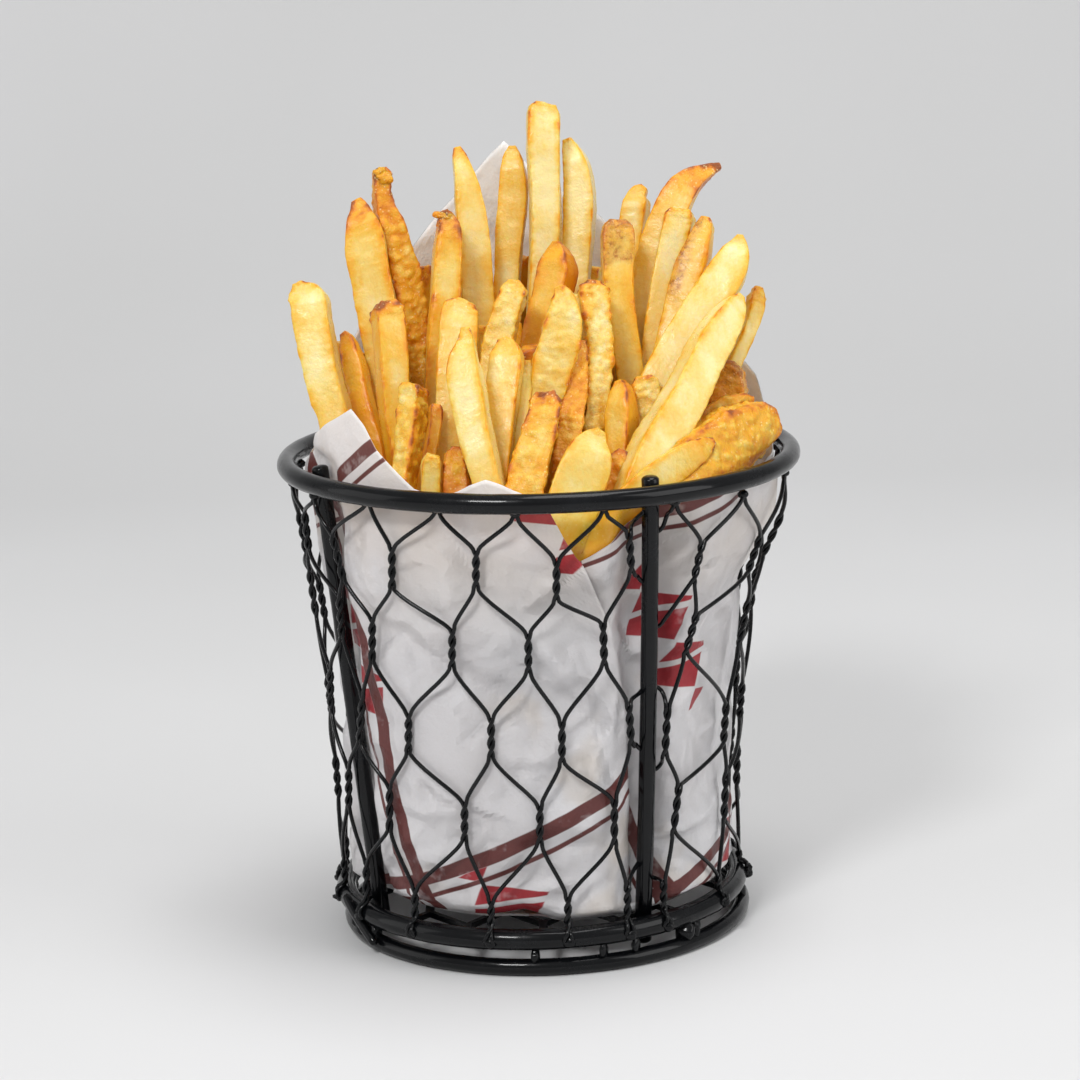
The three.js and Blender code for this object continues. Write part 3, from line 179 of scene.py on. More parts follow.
# ------------------------------------------------------------------------------------------------ small helpers
def rad(a):
    return np.radians(a)


def smooth(t):
    t = np.clip(t, 0.0, 1.0)
    return t * t * (3 - 2 * t)


def hashed(ix, iy, iz, seed):
    with np.errstate(over="ignore"):
        h = (ix.astype(np.uint32) * np.uint32(374761393) + iy.astype(np.uint32) * np.uint32(668265263)
             + iz.astype(np.uint32) * np.uint32(2246822519) + np.uint32((seed * 3266489917) & 0xFFFFFFFF))
        h = (h ^ (h >> np.uint32(15))) * np.uint32(2246822519)
        h = (h ^ (h >> np.uint32(13))) * np.uint32(3266489917)
        h = h ^ (h >> np.uint32(16))
    return (h & np.uint32(0xFFFF)).astype(np.float64) / 32767.5 - 1.0


def noise(P, size, seed=0):
    """Smooth value noise in -1..1 at points P (n, 3), with cells of the given size."""
    Q = np.asarray(P, float) / size
    I = np.floor(Q).astype(np.int64)
    F = Q - I
    F = F * F * F * (F * (F * 6 - 15) + 10)
    I = I + 4096
    out = 0.0
    for dx in (0, 1):
        wx = F[..., 0] if dx else 1 - F[..., 0]
        for dy in (0, 1):
            wy = F[..., 1] if dy else 1 - F[..., 1]
            for dz in (0, 1):
                wz = F[..., 2] if dz else 1 - F[..., 2]
                out = out + wx * wy * wz * hashed(I[..., 0] + dx, I[..., 1] + dy, I[..., 2] + dz, seed)
    return out


def monotone(x, y, xs):
    """Shape-preserving cubic through (x, y), evaluated at xs."""
    x, y = np.asarray(x, float), np.asarray(y, float)
    h = np.diff(x)
    d = np.diff(y) / h
    m = np.zeros_like(y)
    m[0], m[-1] = d[0], d[-1]
    for i in range(1, len(x) - 1):
        if d[i - 1] * d[i] > 0:
            w1, w2 = 2 * h[i] + h[i - 1], h[i] + 2 * h[i - 1]
            m[i] = (w1 + w2) / (w1 / d[i - 1] + w2 / d[i])
    k = np.clip(np.searchsorted(x, xs, side="right") - 1, 0, len(x) - 2)
    t = (xs - x[k]) / h[k]
    return ((1 + 2 * t) * (1 - t) ** 2 * y[k] + t * (1 - t) ** 2 * h[k] * m[k]
            + t * t * (3 - 2 * t) * y[k + 1] + t * t * (t - 1) * h[k] * m[k + 1])


def catmull(x, y, xs):
    """Smooth cubic through (x, y) with central-difference slopes."""
    x, y = np.asarray(x, float), np.asarray(y, float)
    m = np.gradient(y, x)
    h = np.diff(x)
    k = np.clip(np.searchsorted(x, xs, side="right") - 1, 0, len(x) - 2)
    t = (xs - x[k]) / h[k]
    return ((1 + 2 * t) * (1 - t) ** 2 * y[k] + t * (1 - t) ** 2 * h[k] * m[k]
            + t * t * (3 - 2 * t) * y[k + 1] + t * t * (t - 1) * h[k] * m[k + 1])


def unit(v):
    return v / np.maximum(np.linalg.norm(v, axis=-1, keepdims=True), 1e-12)


def around(pairs):
    """A periodic curve through (azimuth, value) pairs, eased between them."""
    a = np.array([p[0] for p in pairs], float)
    v = np.array([p[1] for p in pairs], float)
    a = np.concatenate([a, [a[0] + 360]])
    v = np.concatenate([v, [v[0]]])

    def value(az):
        x = (np.asarray(az, float) - a[0]) % 360 + a[0]
        k = np.clip(np.searchsorted(a, x, side="right") - 1, 0, len(a) - 2)
        t = (x - a[k]) / (a[k + 1] - a[k])
        return v[k] + (v[k + 1] - v[k]) * (1 - np.cos(np.pi * t)) / 2

    return value


WAIST = around([(-155, 1.7), (-110, 3.2), (-67, 1.7), (-18, 2.6), (30, 1.7), (58, 3.4), (82, 4.6), (115, 1.9), (160, 3.0)])


def rise(z):
    return np.clip((np.asarray(z, float) - UP_Z) / (RIM_Z - UP_Z), 0, 1.02)


def centre_x(z):
    return UP_X * (1 - np.clip(rise(z), 0, 1))


def wall_radius(az, z):
    t = rise(z)
    a = (np.asarray(az, float) + 180) % 360 - 180
    side = np.exp(-((a - 86) / 17.0) ** 2)
    bulge = side * (2.1 * np.exp(-((z - 90.5) / 7.5) ** 2) - 0.7 * np.exp(-((z - 73) / 6.0) ** 2))
    return UP_R + 0.9 * (1 - t) + (RIM_R - UP_R) * t - WAIST(az) * 4 * t * (1 - t) + bulge


def cyl(az, r, z):
    """A point at an azimuth, radius and height about the basket's centre there, in millimetres."""
    return np.stack([centre_x(z) + r * np.sin(rad(az)), -r * np.cos(rad(az)), np.asarray(z, float) + 0 * np.asarray(az, float)], -1)


# Height of the sheet's upper edge by azimuth, and the slant of its overlapping side edge.
TOP_LEFT = [(8.9, 90.6), (5.4, 95.7), (2.3, 101.2), (-0.2, 104.4), (-5.8, 106.2), (-9.2, 107.6), (-12.6, 108.5), (-16.2, 107.4), (-19.1, 106.1),
            (-24, 104.6), (-30.5, 106.0), (-34.1, 108.3), (-38.5, 111.3), (-41.8, 113.5), (-46.0, 118.0), (-51.1, 121.2), (-57.3, 118.7),
            (-66.0, 115.7), (-72.5, 113.2), (-74.3, 110.2), (-76.5, 108.6), (-82, 107.6), (-88, 107.8), (-94, 109.2), (-104, 114.5), (-113, 121.5), (-124.3, 128.7), (-131.3, 133.9),
            (-138.5, 139.8), (-146.1, 146.9), (-154.4, 153.9), (-159.6, 158.2), (-165.0, 162.5), (-169.4, 166.2), (-173.3, 169.0), (-177.9, 165.3), (-184, 160.5),
            (-191, 156.0), (-199.1, 151.7), (-210, 144.5), (-222, 135.5), (-235, 126.0), (-246, 121.6), (-252, 120.2), (-259.0, 118.6), (-262.5, 114.0), (-268, 108.2), (-276, 105.0),
            (-290, 104.0), (-305, 103.4), (-320.3, 102.5), (-323.3, 101.2), (-331.7, 98.7), (-336.9, 96.6), (-341.8, 94.8), (-346.5, 92.6), (-351.1, 90.3),
            (-356, 87.5), (-364, 84.0), (-376, 80.0)]
EDGE = [(8.0, 30.5), (20, 29.0), (40, 26.8), (59.4, 23.6), (70.9, 19.7), (76.6, 17.3), (82.3, 14.0), (91.4, 8.9)]


def paper_radius(az, z):
    a = (np.asarray(az, float) + 180) % 360 - 180
    right = np.exp(-((a - 82) / 24.0) ** 2)
    r = np.minimum(wall_radius(az, z) - 1.25, 51.6 + 1.7 * right * (1 - smooth((z - 98.5) / 3.5)) - 0.095 * np.maximum(0, z - 103))
    # drawn in at both sides, where it stands clear of the netting
    left = np.exp(-((a + 96) / 30.0) ** 2)
    right = np.exp(-((a - 84) / 26.0) ** 2)
    high = smooth((z - 14) / 70)
    r = r - 2.6 * left * high * (1 - smooth((z - 95) / 9)) - 2.0 * right * high * (1 - smooth((z - 76) / 12))
    r = r - 3.0 * np.exp(-((a + 102) / 17.0) ** 2) * smooth((z - 103.5) / 5)
    for top, bottom in RODS:
        t = np.clip((z - ROD_BOTTOM) / (ROD_TOP - ROD_BOTTOM), 0, 1)
        ra = bottom + (top - bottom) * t
        rr = ROD_IN_BOTTOM + (ROD_IN_TOP - ROD_IN_BOTTOM) * t - ROD_WIRE - 0.25
        d = np.abs((a - ra + 180) % 360 - 180)
        near = 1 - smooth((d - 3.2) / 9.0)
        above = 1 - smooth((z - ROD_TOP - 0.4) / 4.0)
        r = np.where(r > rr, r + (rr - r) * near * above, r)
    return r


AROUND = 288  # millimetres round the sheet, for its creases


def facets(cell, amount, seed, stretch=1.0, angle=0.0):
    """Random flat facets with sharp creases between them, as heights on a 0.5 mm grid that closes round the sheet."""
    rng = np.random.default_rng(seed)
    n, m = AROUND * 2, 360
    pts = []
    for i in range(int(AROUND / cell)):
        for j in range(-1, int(180 / cell) + 2):
            pts.append(((i + 0.5 + rng.uniform(-0.46, 0.46)) * AROUND / int(AROUND / cell), (j + 0.5 + rng.uniform(-0.46, 0.46)) * cell))
    base = np.array(pts)
    height = np.where(rng.uniform(0, 1, len(base)) < 0.5, rng.uniform(0, 0.25, len(base)), rng.uniform(0.7, 1.0, len(base))) * amount
    every = np.vstack([base + [k * AROUND, 0] for k in (-1, 0, 1)])
    every = every[(every[:, 0] > -2.5 * cell) & (every[:, 0] < AROUND + 2.5 * cell)]
    index = {}
    tall = []
    for x, y in every:
        k = np.argmin(np.abs((base[:, 0] - x + AROUND / 2) % AROUND - AROUND / 2) + np.abs(base[:, 1] - y))
        tall.append(height[k])
    tall = np.array(tall)
    ca, sa = math.cos(angle), math.sin(angle)
    skewed = [Vector(((x * ca + y * sa) / stretch, -x * sa + y * ca)) for x, y in every]
    verts, _, tris, orig, _, _ = delaunay_2d_cdt(skewed, [], [], 0, 1e-6)
    grid = np.zeros((n, m))
    for tri in tris:
        ids = [orig[v][0] for v in tri]
        P, H = every[ids], tall[ids]
        x0, x1 = max(0, int(math.floor(P[:, 0].min() * 2))), min(n - 1, int(math.ceil(P[:, 0].max() * 2)))
        y0, y1 = max(0, int(math.floor(P[:, 1].min() * 2))), min(m - 1, int(math.ceil(P[:, 1].max() * 2)))
        if x1 < x0 or y1 < y0:
            continue
        X, Y = np.meshgrid(np.arange(x0, x1 + 1) / 2, np.arange(y0, y1 + 1) / 2, indexing="ij")
        d = (P[1, 1] - P[2, 1]) * (P[0, 0] - P[2, 0]) + (P[2, 0] - P[1, 0]) * (P[0, 1] - P[2, 1])
        if abs(d) < 1e-9:
            continue
        w0 = ((P[1, 1] - P[2, 1]) * (X - P[2, 0]) + (P[2, 0] - P[1, 0]) * (Y - P[2, 1])) / d
        w1 = ((P[2, 1] - P[0, 1]) * (X - P[2, 0]) + (P[0, 0] - P[2, 0]) * (Y - P[2, 1])) / d
        w2 = 1 - w0 - w1
        inside = (w0 >= -1e-6) & (w1 >= -1e-6) & (w2 >= -1e-6)
        part = grid[x0:x1 + 1, y0:y1 + 1]
        part[inside] = (w0 * H[0] + w1 * H[1] + w2 * H[2])[inside]
    return grid


def look_up(grid, az, z):
    x = (np.asarray(az, float) % 360) / 360 * AROUND * 2
    y = np.clip(np.asarray(z, float) * 2, 0, grid.shape[1] - 2.001)
    i, j = np.floor(x).astype(int), np.floor(y).astype(int)
    fx, fy = x - i, y - j
    n = grid.shape[0]
    i0, i1 = i % n, (i + 1) % n
    return ((grid[i0, j] * (1 - fx) + grid[i1, j] * fx) * (1 - fy) + (grid[i0, j + 1] * (1 - fx) + grid[i1, j + 1] * fx) * fy)


CREASES = facets(24.0, 1.2, 3, 1.9, 0.9) + facets(12.5, 2.1, 4, 1.6, -0.7) + facets(6.6, 1.6, 5, 1.3, 0.4) + facets(3.3, 0.34, 6)


def widened(grid, reach):
    """The deepest crease within reach (grid steps) of each place."""
    out = grid.copy()
    for k in range(1, reach + 1):
        out = np.maximum(out, np.maximum(np.roll(grid, k, 0), np.roll(grid, -k, 0)))
    deep = out.copy()
    for k in range(1, reach + 1):
        deep[:, k:] = np.maximum(deep[:, k:], out[:, :-k])
        deep[:, :-k] = np.maximum(deep[:, :-k], out[:, k:])
    return deep


DEEPEST = widened(CREASES, 5)


def crumple(az, z, grid=CREASES):
    """How far the sheet's creases and facets lie inside its smooth form."""
    az, z = np.broadcast_arrays(np.asarray(az, float), np.asarray(z, float))
    G = np.stack([46 * np.sin(rad(az)), -46 * np.cos(rad(az)), z], -1).reshape(-1, 3)
    amount = (0.85 + 0.35 * noise(G, 34, 57)).reshape(az.shape)
    c = look_up(grid, az, z) * amount + (0.28 * np.abs(noise(G, 4.2, 56))).reshape(az.shape) - 1.0
    c = np.where(c > 4.0, 4.0 + 0.4 * (c - 4.0), c)
    high = 1 - 0.62 * smooth((z - 96) / 10)
    high = high * (1 - 0.75 * np.exp(-(((az + 180) % 360 - 180 - 82) / 20.0) ** 2) * smooth((z - 80) / 12))
    return np.clip(c, 0, 4.8) * high * smooth((z - 10.2) / 4)


def paper_top(az):
    a = 8.9 - (8.9 - np.asarray(az, float)) % 360
    return np.interp(a, [p[0] for p in TOP_LEFT][::-1], [p[1] for p in TOP_LEFT][::-1])


def paper_inner(az, z):
    """Radius of the sheet's inner face, under both of its layers."""
    a = (np.asarray(az, float) + 180) % 360 - 180
    layer = 1.15 * smooth((39 - a) / 7.0) * smooth((a + 24) / 6.0)
    tuck = smooth((z - 10.2) / 3.2)
    r = paper_radius(az, z) - crumple(az, z, DEEPEST) - 0.15 - layer
    return np.minimum(r, 38.6 + (r - 38.6) * tuck) - 0.2


class Build:
    """Gathers closed bodies into one mesh, with named numbers on its points."""

    def __init__(self, layers=()):
        self.points, self.faces, self.count = [], [], 0
        self.layers = {name: [] for name in layers}

    def add(self, points, faces, **values):
        points = np.asarray(points, float)
        self.points.append(points)
        self.faces.extend(faces + self.count if isinstance(faces, np.ndarray) else [tuple(i + self.count for i in f) for f in faces])
        for name in self.layers:
            v = values.get(name, 0.0)
            self.layers[name].append(np.broadcast_to(np.asarray(v, float), (len(points),)))
        self.count += len(points)

    def finish(self, name, material, slot, replaces=(), flat=False):
        co = np.concatenate(self.points) * MM
        me = bpy.data.meshes.new(name)
        me.from_pydata(co.tolist(), [], [tuple(int(i) for i in f) for f in self.faces])
        me.validate()
        for layer, values in self.layers.items():
            at = me.attributes.new(layer, "FLOAT", "POINT")
            at.data.foreach_set("value", np.concatenate(values).astype(np.float32))
        me.shade_smooth() if not flat else me.shade_flat()
        me.materials.append(material)
        ob = bpy.data.objects.new(name, me)
        bpy.context.scene.collection.objects.link(ob)
        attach(ob, "root")
        if replaces:
            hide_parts(*replaces)
        tris = sum(len(f) - 2 for f in self.faces)
        print(f"piece {name}: {tris} triangles")
        return ob


def ring_faces(rows, cols, closed_rows=False):
    """Quads between successive rings of points."""
    i = np.arange(rows if closed_rows else rows - 1)[:, None]
    j = np.arange(cols)[None, :]
    i2, j2 = (i + 1) % rows, (j + 1) % cols
    return np.stack([i * cols + j, i * cols + j2, i2 * cols + j2, i2 * cols + j], -1).reshape(-1, 4)


def tube(build, path, radius, sides=8, cap=0.7, **values):
    """A round wire along a path, with rounded ends."""
    C = np.asarray(path, float)
    T = unit(np.gradient(C, axis=0))
    U = np.zeros_like(C)
    ref = np.array([0.0, 0.0, 1.0]) if abs(T[0, 2]) < 0.9 else np.array([1.0, 0.0, 0.0])
    U[0] = unit(np.cross(T[0], ref))
    for k in range(1, len(C)):
        u = U[k - 1] - T[k] * np.dot(U[k - 1], T[k])
        U[k] = u / max(np.linalg.norm(u), 1e-9)
    V = np.cross(T, U)
    R = np.broadcast_to(np.asarray(radius, float), (len(C),)).copy()
    ends = [(-0.9, 0.45), (-0.6, 0.8)]
    C = np.vstack([[C[0] + T[0] * R[0] * cap * e for e, _ in ends], C, [C[-1] - T[-1] * R[-1] * cap * e for e, _ in ends[::-1]]])
    R = np.concatenate([[R[0] * s for _, s in ends], R, [R[-1] * s for _, s in ends[::-1]]])
    U = np.vstack([U[:1], U[:1], U, U[-1:], U[-1:]])
    V = np.vstack([V[:1], V[:1], V, V[-1:], V[-1:]])
    a = np.linspace(0, 2 * np.pi, sides, endpoint=False)
    P = C[:, None] + R[:, None, None] * (np.cos(a)[None, :, None] * U[:, None] + np.sin(a)[None, :, None] * V[:, None])
    P = P.reshape(-1, 3)
    n = len(C)
    faces = [tuple(f) for f in ring_faces(n, sides)]
    faces.append(tuple(range(sides))[::-1])
    faces.append(tuple(range((n - 1) * sides, n * sides)))
    build.add(P, faces, **values)


def torus(build, radius, wire, centre, lean=0.0, steps=200, sides=20, bumps=None, **values):
    """A ring of round wire; bumps(azimuth, around) adds a little to the wire's radius."""
    az = np.linspace(0, 360, steps, endpoint=False)
    a = np.linspace(0, 2 * np.pi, sides, endpoint=False)
    A, B = np.meshgrid(az, a, indexing="ij")
    w = wire + (bumps(A, B) if bumps else 0)
    r = radius + w * np.cos(B)
    P = np.stack([r * np.sin(rad(A)), -r * np.cos(rad(A)), w * np.sin(B)], -1).reshape(-1, 3)
    c, s = math.cos(lean), math.sin(lean)
    P = np.stack([P[:, 0] * c + P[:, 2] * s, P[:, 1], -P[:, 0] * s + P[:, 2] * c], -1) + np.asarray(centre, float)
    build.add(P, [tuple(f)[::-1] for f in ring_faces(steps, sides, True)], **values)


def blob(build, centre, size, axis=(0, 0, 1), seed=1, amount=0.12, n=14, m=18, **values):
    """A lumpy drop of weld or paint: an ellipsoid with its third size along the axis."""
    t = np.linspace(0, np.pi, n + 1)[1:-1]
    a = np.linspace(0, 2 * np.pi, m, endpoint=False)
    S = [[0, 0, 1.0]] + [[math.sin(x) * math.cos(y), math.sin(x) * math.sin(y), math.cos(x)] for x in t for y in a] + [[0, 0, -1.0]]
    S = np.array(S)
    S = S * (1 + amount * noise(S, 0.7, seed))[:, None] * np.asarray(size, float)
    z = unit(np.asarray(axis, float))
    x = unit(np.cross(z, [0.3, 1.0, 0.2]))
    y = np.cross(z, x)
    P = S[:, :1] * x + S[:, 1:2] * y + S[:, 2:] * z + np.asarray(centre, float)
    rows = len(t)
    faces = [(0, 1 + j, 1 + (j + 1) % m) for j in range(m)]
    for i in range(rows - 1):
        for j in range(m):
            faces.append((1 + i * m + j, 1 + (i + 1) * m + j, 1 + (i + 1) * m + (j + 1) % m, 1 + i * m + (j + 1) % m))
    last = len(P) - 1
    faces += [(last, 1 + (rows - 1) * m + (j + 1) % m, 1 + (rows - 1) * m + j) for j in range(m)]
    build.add(P, faces, **values)


# ------------------------------------------------------------------------------------------------ node helpers
def srgb(r, g, b):
    f = lambda v: v / 12.92 if v <= 0.04045 else ((v + 0.055) / 1.055) ** 2.4
    return (f(r / 255), f(g / 255), f(b / 255), 1.0)


class Nodes:
    def __init__(self, name):
        self.material = bpy.data.materials.new(name)
        self.material.use_nodes = True
        self.tree = self.material.node_tree
        self.shader = self.tree.nodes["Principled BSDF"]

    def new(self, kind, **values):
        node = self.tree.nodes.new(kind)
        for k, v in values.items():
            setattr(node, k, v)
        return node

    def link(self, a, b):
        self.tree.links.new(a, b)

    def put(self, socket, value):
        if isinstance(value, bpy.types.NodeSocket):
            self.link(value, socket)
        else:
            socket.default_value = value

    def math(self, op, a, b=0.0, c=0.0, clamp=False):
        n = self.new("ShaderNodeMath", operation=op, use_clamp=clamp)
        for s, v in zip(n.inputs, (a, b, c)):
            self.put(s, v)
        return n.outputs[0]

    def attribute(self, name):
        return self.new("ShaderNodeAttribute", attribute_name=name).outputs["Fac"]

    def place(self):
        return self.new("ShaderNodeTexCoord").outputs["Object"]

    def noise(self, scale, detail=3.0, rough=0.55, distortion=0.0, vector=None):
        n = self.new("ShaderNodeTexNoise")
        n.inputs["Scale"].default_value = scale
        n.inputs["Detail"].default_value = detail
        n.inputs["Roughness"].default_value = rough
        n.inputs["Distortion"].default_value = distortion
        self.link(vector or self.place(), n.inputs["Vector"])
        return n.outputs["Fac"]

    def voronoi(self, scale, feature="F1", vector=None):
        n = self.new("ShaderNodeTexVoronoi", feature=feature)
        n.inputs["Scale"].default_value = scale
        self.link(vector or self.place(), n.inputs["Vector"])
        return n.outputs["Distance"]

    def ramp(self, fac, stops, mode="LINEAR"):
        n = self.new("ShaderNodeValToRGB")
        n.color_ramp.interpolation = mode
        e = n.color_ramp.elements
        while len(e) < len(stops):
            e.new(0.5)
        for el, (p, c) in zip(e, stops):
            el.position = p
            el.color = c
        self.put(n.inputs["Fac"], fac)
        return n.outputs["Color"]

    def span(self, value, a, b, lo=0.0, hi=1.0):
        n = self.new("ShaderNodeMapRange", interpolation_type="SMOOTHSTEP")
        for k, v in (("Value", value), ("From Min", a), ("From Max", b), ("To Min", lo), ("To Max", hi)):
            self.put(n.inputs[k], v)
        return n.outputs["Result"]

    def mix(self, fac, a, b, blend="MIX"):
        n = self.new("ShaderNodeMix", data_type="RGBA", blend_type=blend)
        for s, v in zip((n.inputs[0], n.inputs[6], n.inputs[7]), (fac, a, b)):
            self.put(s, v)
        return n.outputs[2]

    def bump(self, height, strength, distance, normal=None):
        n = self.new("ShaderNodeBump")
        n.inputs["Strength"].default_value = strength
        n.inputs["Distance"].default_value = distance
        self.put(n.inputs["Height"], height)
        if normal is not None:
            self.link(normal, n.inputs["Normal"])
        return n.outputs["Normal"]


# ------------------------------------------------------------------------------------------------ materials
def metal_material(name, tint=1.0):
    """Black powder coat, semi-gloss, a little orange-peeled, dustier and rubbed in places."""
    m = Nodes(name)
    big = m.noise(90, 3, 0.6)
    fine = m.noise(1400, 2, 0.5)
    peel = m.noise(520, 2, 0.5)
    colour = m.ramp(big, [(0.3, (0.0022 * tint, 0.0025 * tint, 0.0031 * tint, 1)), (0.62, (0.0034 * tint, 0.0038 * tint, 0.0047 * tint, 1)),
                          (0.8, (0.007 * tint, 0.0078 * tint, 0.0093 * tint, 1))])
    m.put(m.shader.inputs["Base Color"], colour)
    rough = m.math("ADD", m.span(big, 0.3, 0.75, 0.16, 0.30), m.span(fine, 0.35, 0.7, -0.02, 0.04))
    m.put(m.shader.inputs["Roughness"], rough)
    m.shader.inputs["Specular IOR Level"].default_value = 0.13
    m.shader.inputs["Coat Weight"].default_value = 0.26
    m.shader.inputs["Coat Roughness"].default_value = 0.05
    n1 = m.bump(peel, 0.10, 0.0004)
    m.put(m.shader.inputs["Normal"], m.bump(fine, 0.04, 0.0002, n1))
    return m.material


def fry_material(name):
    """Fried potato: pale and mottled on the faces, golden on the edges, brown and crusty at the tips."""
    m = Nodes(name)
    toast, skin, pale, crust = (m.attribute(k) for k in ("toast", "skin", "pale", "crust"))
    mottle = m.noise(210, 4, 0.6, 0.4)
    fine = m.noise(1300, 3, 0.6)
    grain = m.noise(2600, 3, 0.6)
    # streaks that run up the fries
    long = m.new("ShaderNodeVectorMath", operation="MULTIPLY")
    m.link(m.place(), long.inputs[0])
    long.inputs[1].default_value = (1.0, 1.0, 0.22)
    streaks = m.noise(620, 3, 0.6, 0.3, vector=long.outputs[0])
    t = m.math("ADD", toast, m.math("MULTIPLY", m.math("SUBTRACT", mottle, 0.5), 0.26))
    t = m.math("ADD", t, m.math("MULTIPLY", m.math("SUBTRACT", streaks, 0.5), 0.20))
    t = m.math("ADD", t, m.math("MULTIPLY", m.math("SUBTRACT", fine, 0.5), 0.16))
    t = m.math("SUBTRACT", t, m.math("MULTIPLY", pale, 0.10), clamp=True)
    colour = m.ramp(t, [(0.0, srgb(243, 227, 162)), (0.14, srgb(241, 213, 122)), (0.28, srgb(239, 194, 76)),
                        (0.44, srgb(238, 174, 34)), (0.60, srgb(230, 150, 20)), (0.78, srgb(202, 113, 20)), (1.0, srgb(146, 76, 16))])
    freckle = m.span(m.voronoi(230), 0.12, 0.03)
    freckle = m.math("MULTIPLY", freckle, m.span(m.noise(120, 2, 0.5), 0.60, 0.72))
    colour = m.mix(m.math("MULTIPLY", freckle, 0.22), colour, srgb(176, 116, 48))
    speck = m.span(m.noise(900, 3, 0.65), 0.40, 0.66)
    # tiny glints where the surface is rough: painted highlights, bright specks in the colour, which are also made a
    # little smoother
    painted_glint = m.math("MULTIPLY", m.span(m.voronoi(1150), 0.30, 0.14), m.span(m.noise(330, 2, 0.5), 0.42, 0.58))
    painted_glint = m.math("MULTIPLY", painted_glint, m.span(crust, 0.0, 0.7, 0.30, 1.0))
    skin_colour = m.ramp(m.noise(520, 4, 0.75), [(0.30, srgb(122, 66, 18)), (0.48, srgb(186, 120, 42)), (0.68, srgb(230, 180, 92))])
    skin_mask = m.math("MULTIPLY", m.span(skin, 0.05, 0.95), m.span(speck, 0.0, 1.0, 0.45, 0.95))
    colour = m.mix(skin_mask, colour, skin_colour)
    colour = m.mix(m.math("MULTIPLY", painted_glint, 0.56), colour, srgb(255, 232, 168))
    m.put(m.shader.inputs["Base Color"], colour)
    oil = m.noise(420, 3, 0.65)
    rough = m.math("ADD", m.span(oil, 0.35, 0.68, 0.26, 0.48), m.math("MULTIPLY", crust, 0.04))
    rough = m.math("SUBTRACT", rough, m.math("MULTIPLY", painted_glint, 0.12))
    m.put(m.shader.inputs["Roughness"], rough)
    m.shader.inputs["Specular IOR Level"].default_value = 0.46
    m.shader.inputs["Subsurface Weight"].default_value = 0.48
    m.shader.inputs["Subsurface Radius"].default_value = (1.0, 0.60, 0.16)
    m.shader.inputs["Subsurface Scale"].default_value = 0.0022
    m.shader.inputs["Coat Weight"].default_value = 0.10
    m.shader.inputs["Coat Roughness"].default_value = 0.26
    cells = m.voronoi(620)
    n1 = m.bump(mottle, 0.5, 0.0006)
    n2 = m.bump(m.math("MULTIPLY", fine, m.span(crust, 0.0, 0.8, 0.35, 1.0)), 0.45, 0.0004, n1)
    n2 = m.bump(m.math("MULTIPLY", cells, m.span(crust, 0.0, 0.8, 0.5, 1.0)), 0.30, 0.0003, n2)
    n3 = m.bump(m.math("MULTIPLY", grain, m.span(crust, 0.0, 0.8, 0.15, 1.0)), 0.60, 0.00028, n2)
    m.put(m.shader.inputs["Normal"], n3)
    return m.material


# ------------------------------------------------------------------------------------------------ fries
TOAST = dict(vpale=0.07, pale=0.13, pale2=0.11, yellow=0.20, gold=0.27, amber=0.38, dark=0.50)
# what sets single fries apart: turned sections, one side face painted darker as shade, skin on one side
LOOKS = {
    "f01": dict(rot=6), "f05": dict(rot=-24, side=-0.16, tipb=1.0, reach=2.5, burn=0.18, burnt=2.5), "f19": dict(rot=24, side=0.18), "f26": dict(rot=24, side=0.16), "f32": dict(rot=22, side=0.16),
    "f24": dict(rot=0, dish=0.02, tipb=0.45, lines=2.2), "f09": dict(rot=-4, cut=0.02), "f10": dict(rot=10), "f07": dict(rot=-8, kind="yellow"), "f08": dict(rot=8, kind="yellow"),
    "f14": dict(skinside=-1, skinlen=0.45), "f17": dict(rot=-14, lines=1.4, burn=0.06, burnt=8.0), "f15": dict(rot=10, lines=1.8), "f06": dict(skin=0.35, skinlen=0.18, tipb=0.9, burn=0.24, burnt=5.0),
    "f18": dict(skin=1.05, skinlen=0.25), "f35": dict(skin=0.85, skinlen=0.30, tipb=0.7, blister=0.6, cut=-0.45, shift=(-1.5, 0, 0.3)), "f12": dict(kind="yellow", rot=12, reach=6.0, burn=0.55, burnt=11.0), "f30": dict(tipb=1.0, reach=4.0, burn=0.22, burnt=4.0),
    "f13": dict(kind="pale", cut=0.05, lines=1.5), "f21": dict(kind="yellow", side=0.12), "f25": dict(kind="yellow"), "f23": dict(kind="yellow"), "f31": dict(kind="pale2"), "f34": dict(kind="yellow", tipb=0.8, lines=1.6), "f22": dict(kind="yellow"), "f33": dict(kind="yellow"), "f36": dict(rot=-6, corner=0.2, grow=1.12, shift=(-0.6, 0, 1.7), burn=0.06, burnt=6.0), "f20": dict(kind="yellow"), "f03": dict(tipb=0.8, reach=4.0, burn=0.10, burnt=7.0, kind="yellow"), "f04": dict(burn=0.16, burnt=12.0), "f02": dict(burn=0.12, burnt=4.0), "f16": dict(burn=0.14, burnt=5.0),
}
LAYERS = ("toast", "skin", "pale", "crust")
VIEW = np.array([0.0018873, 0.9782258, -0.2075349])


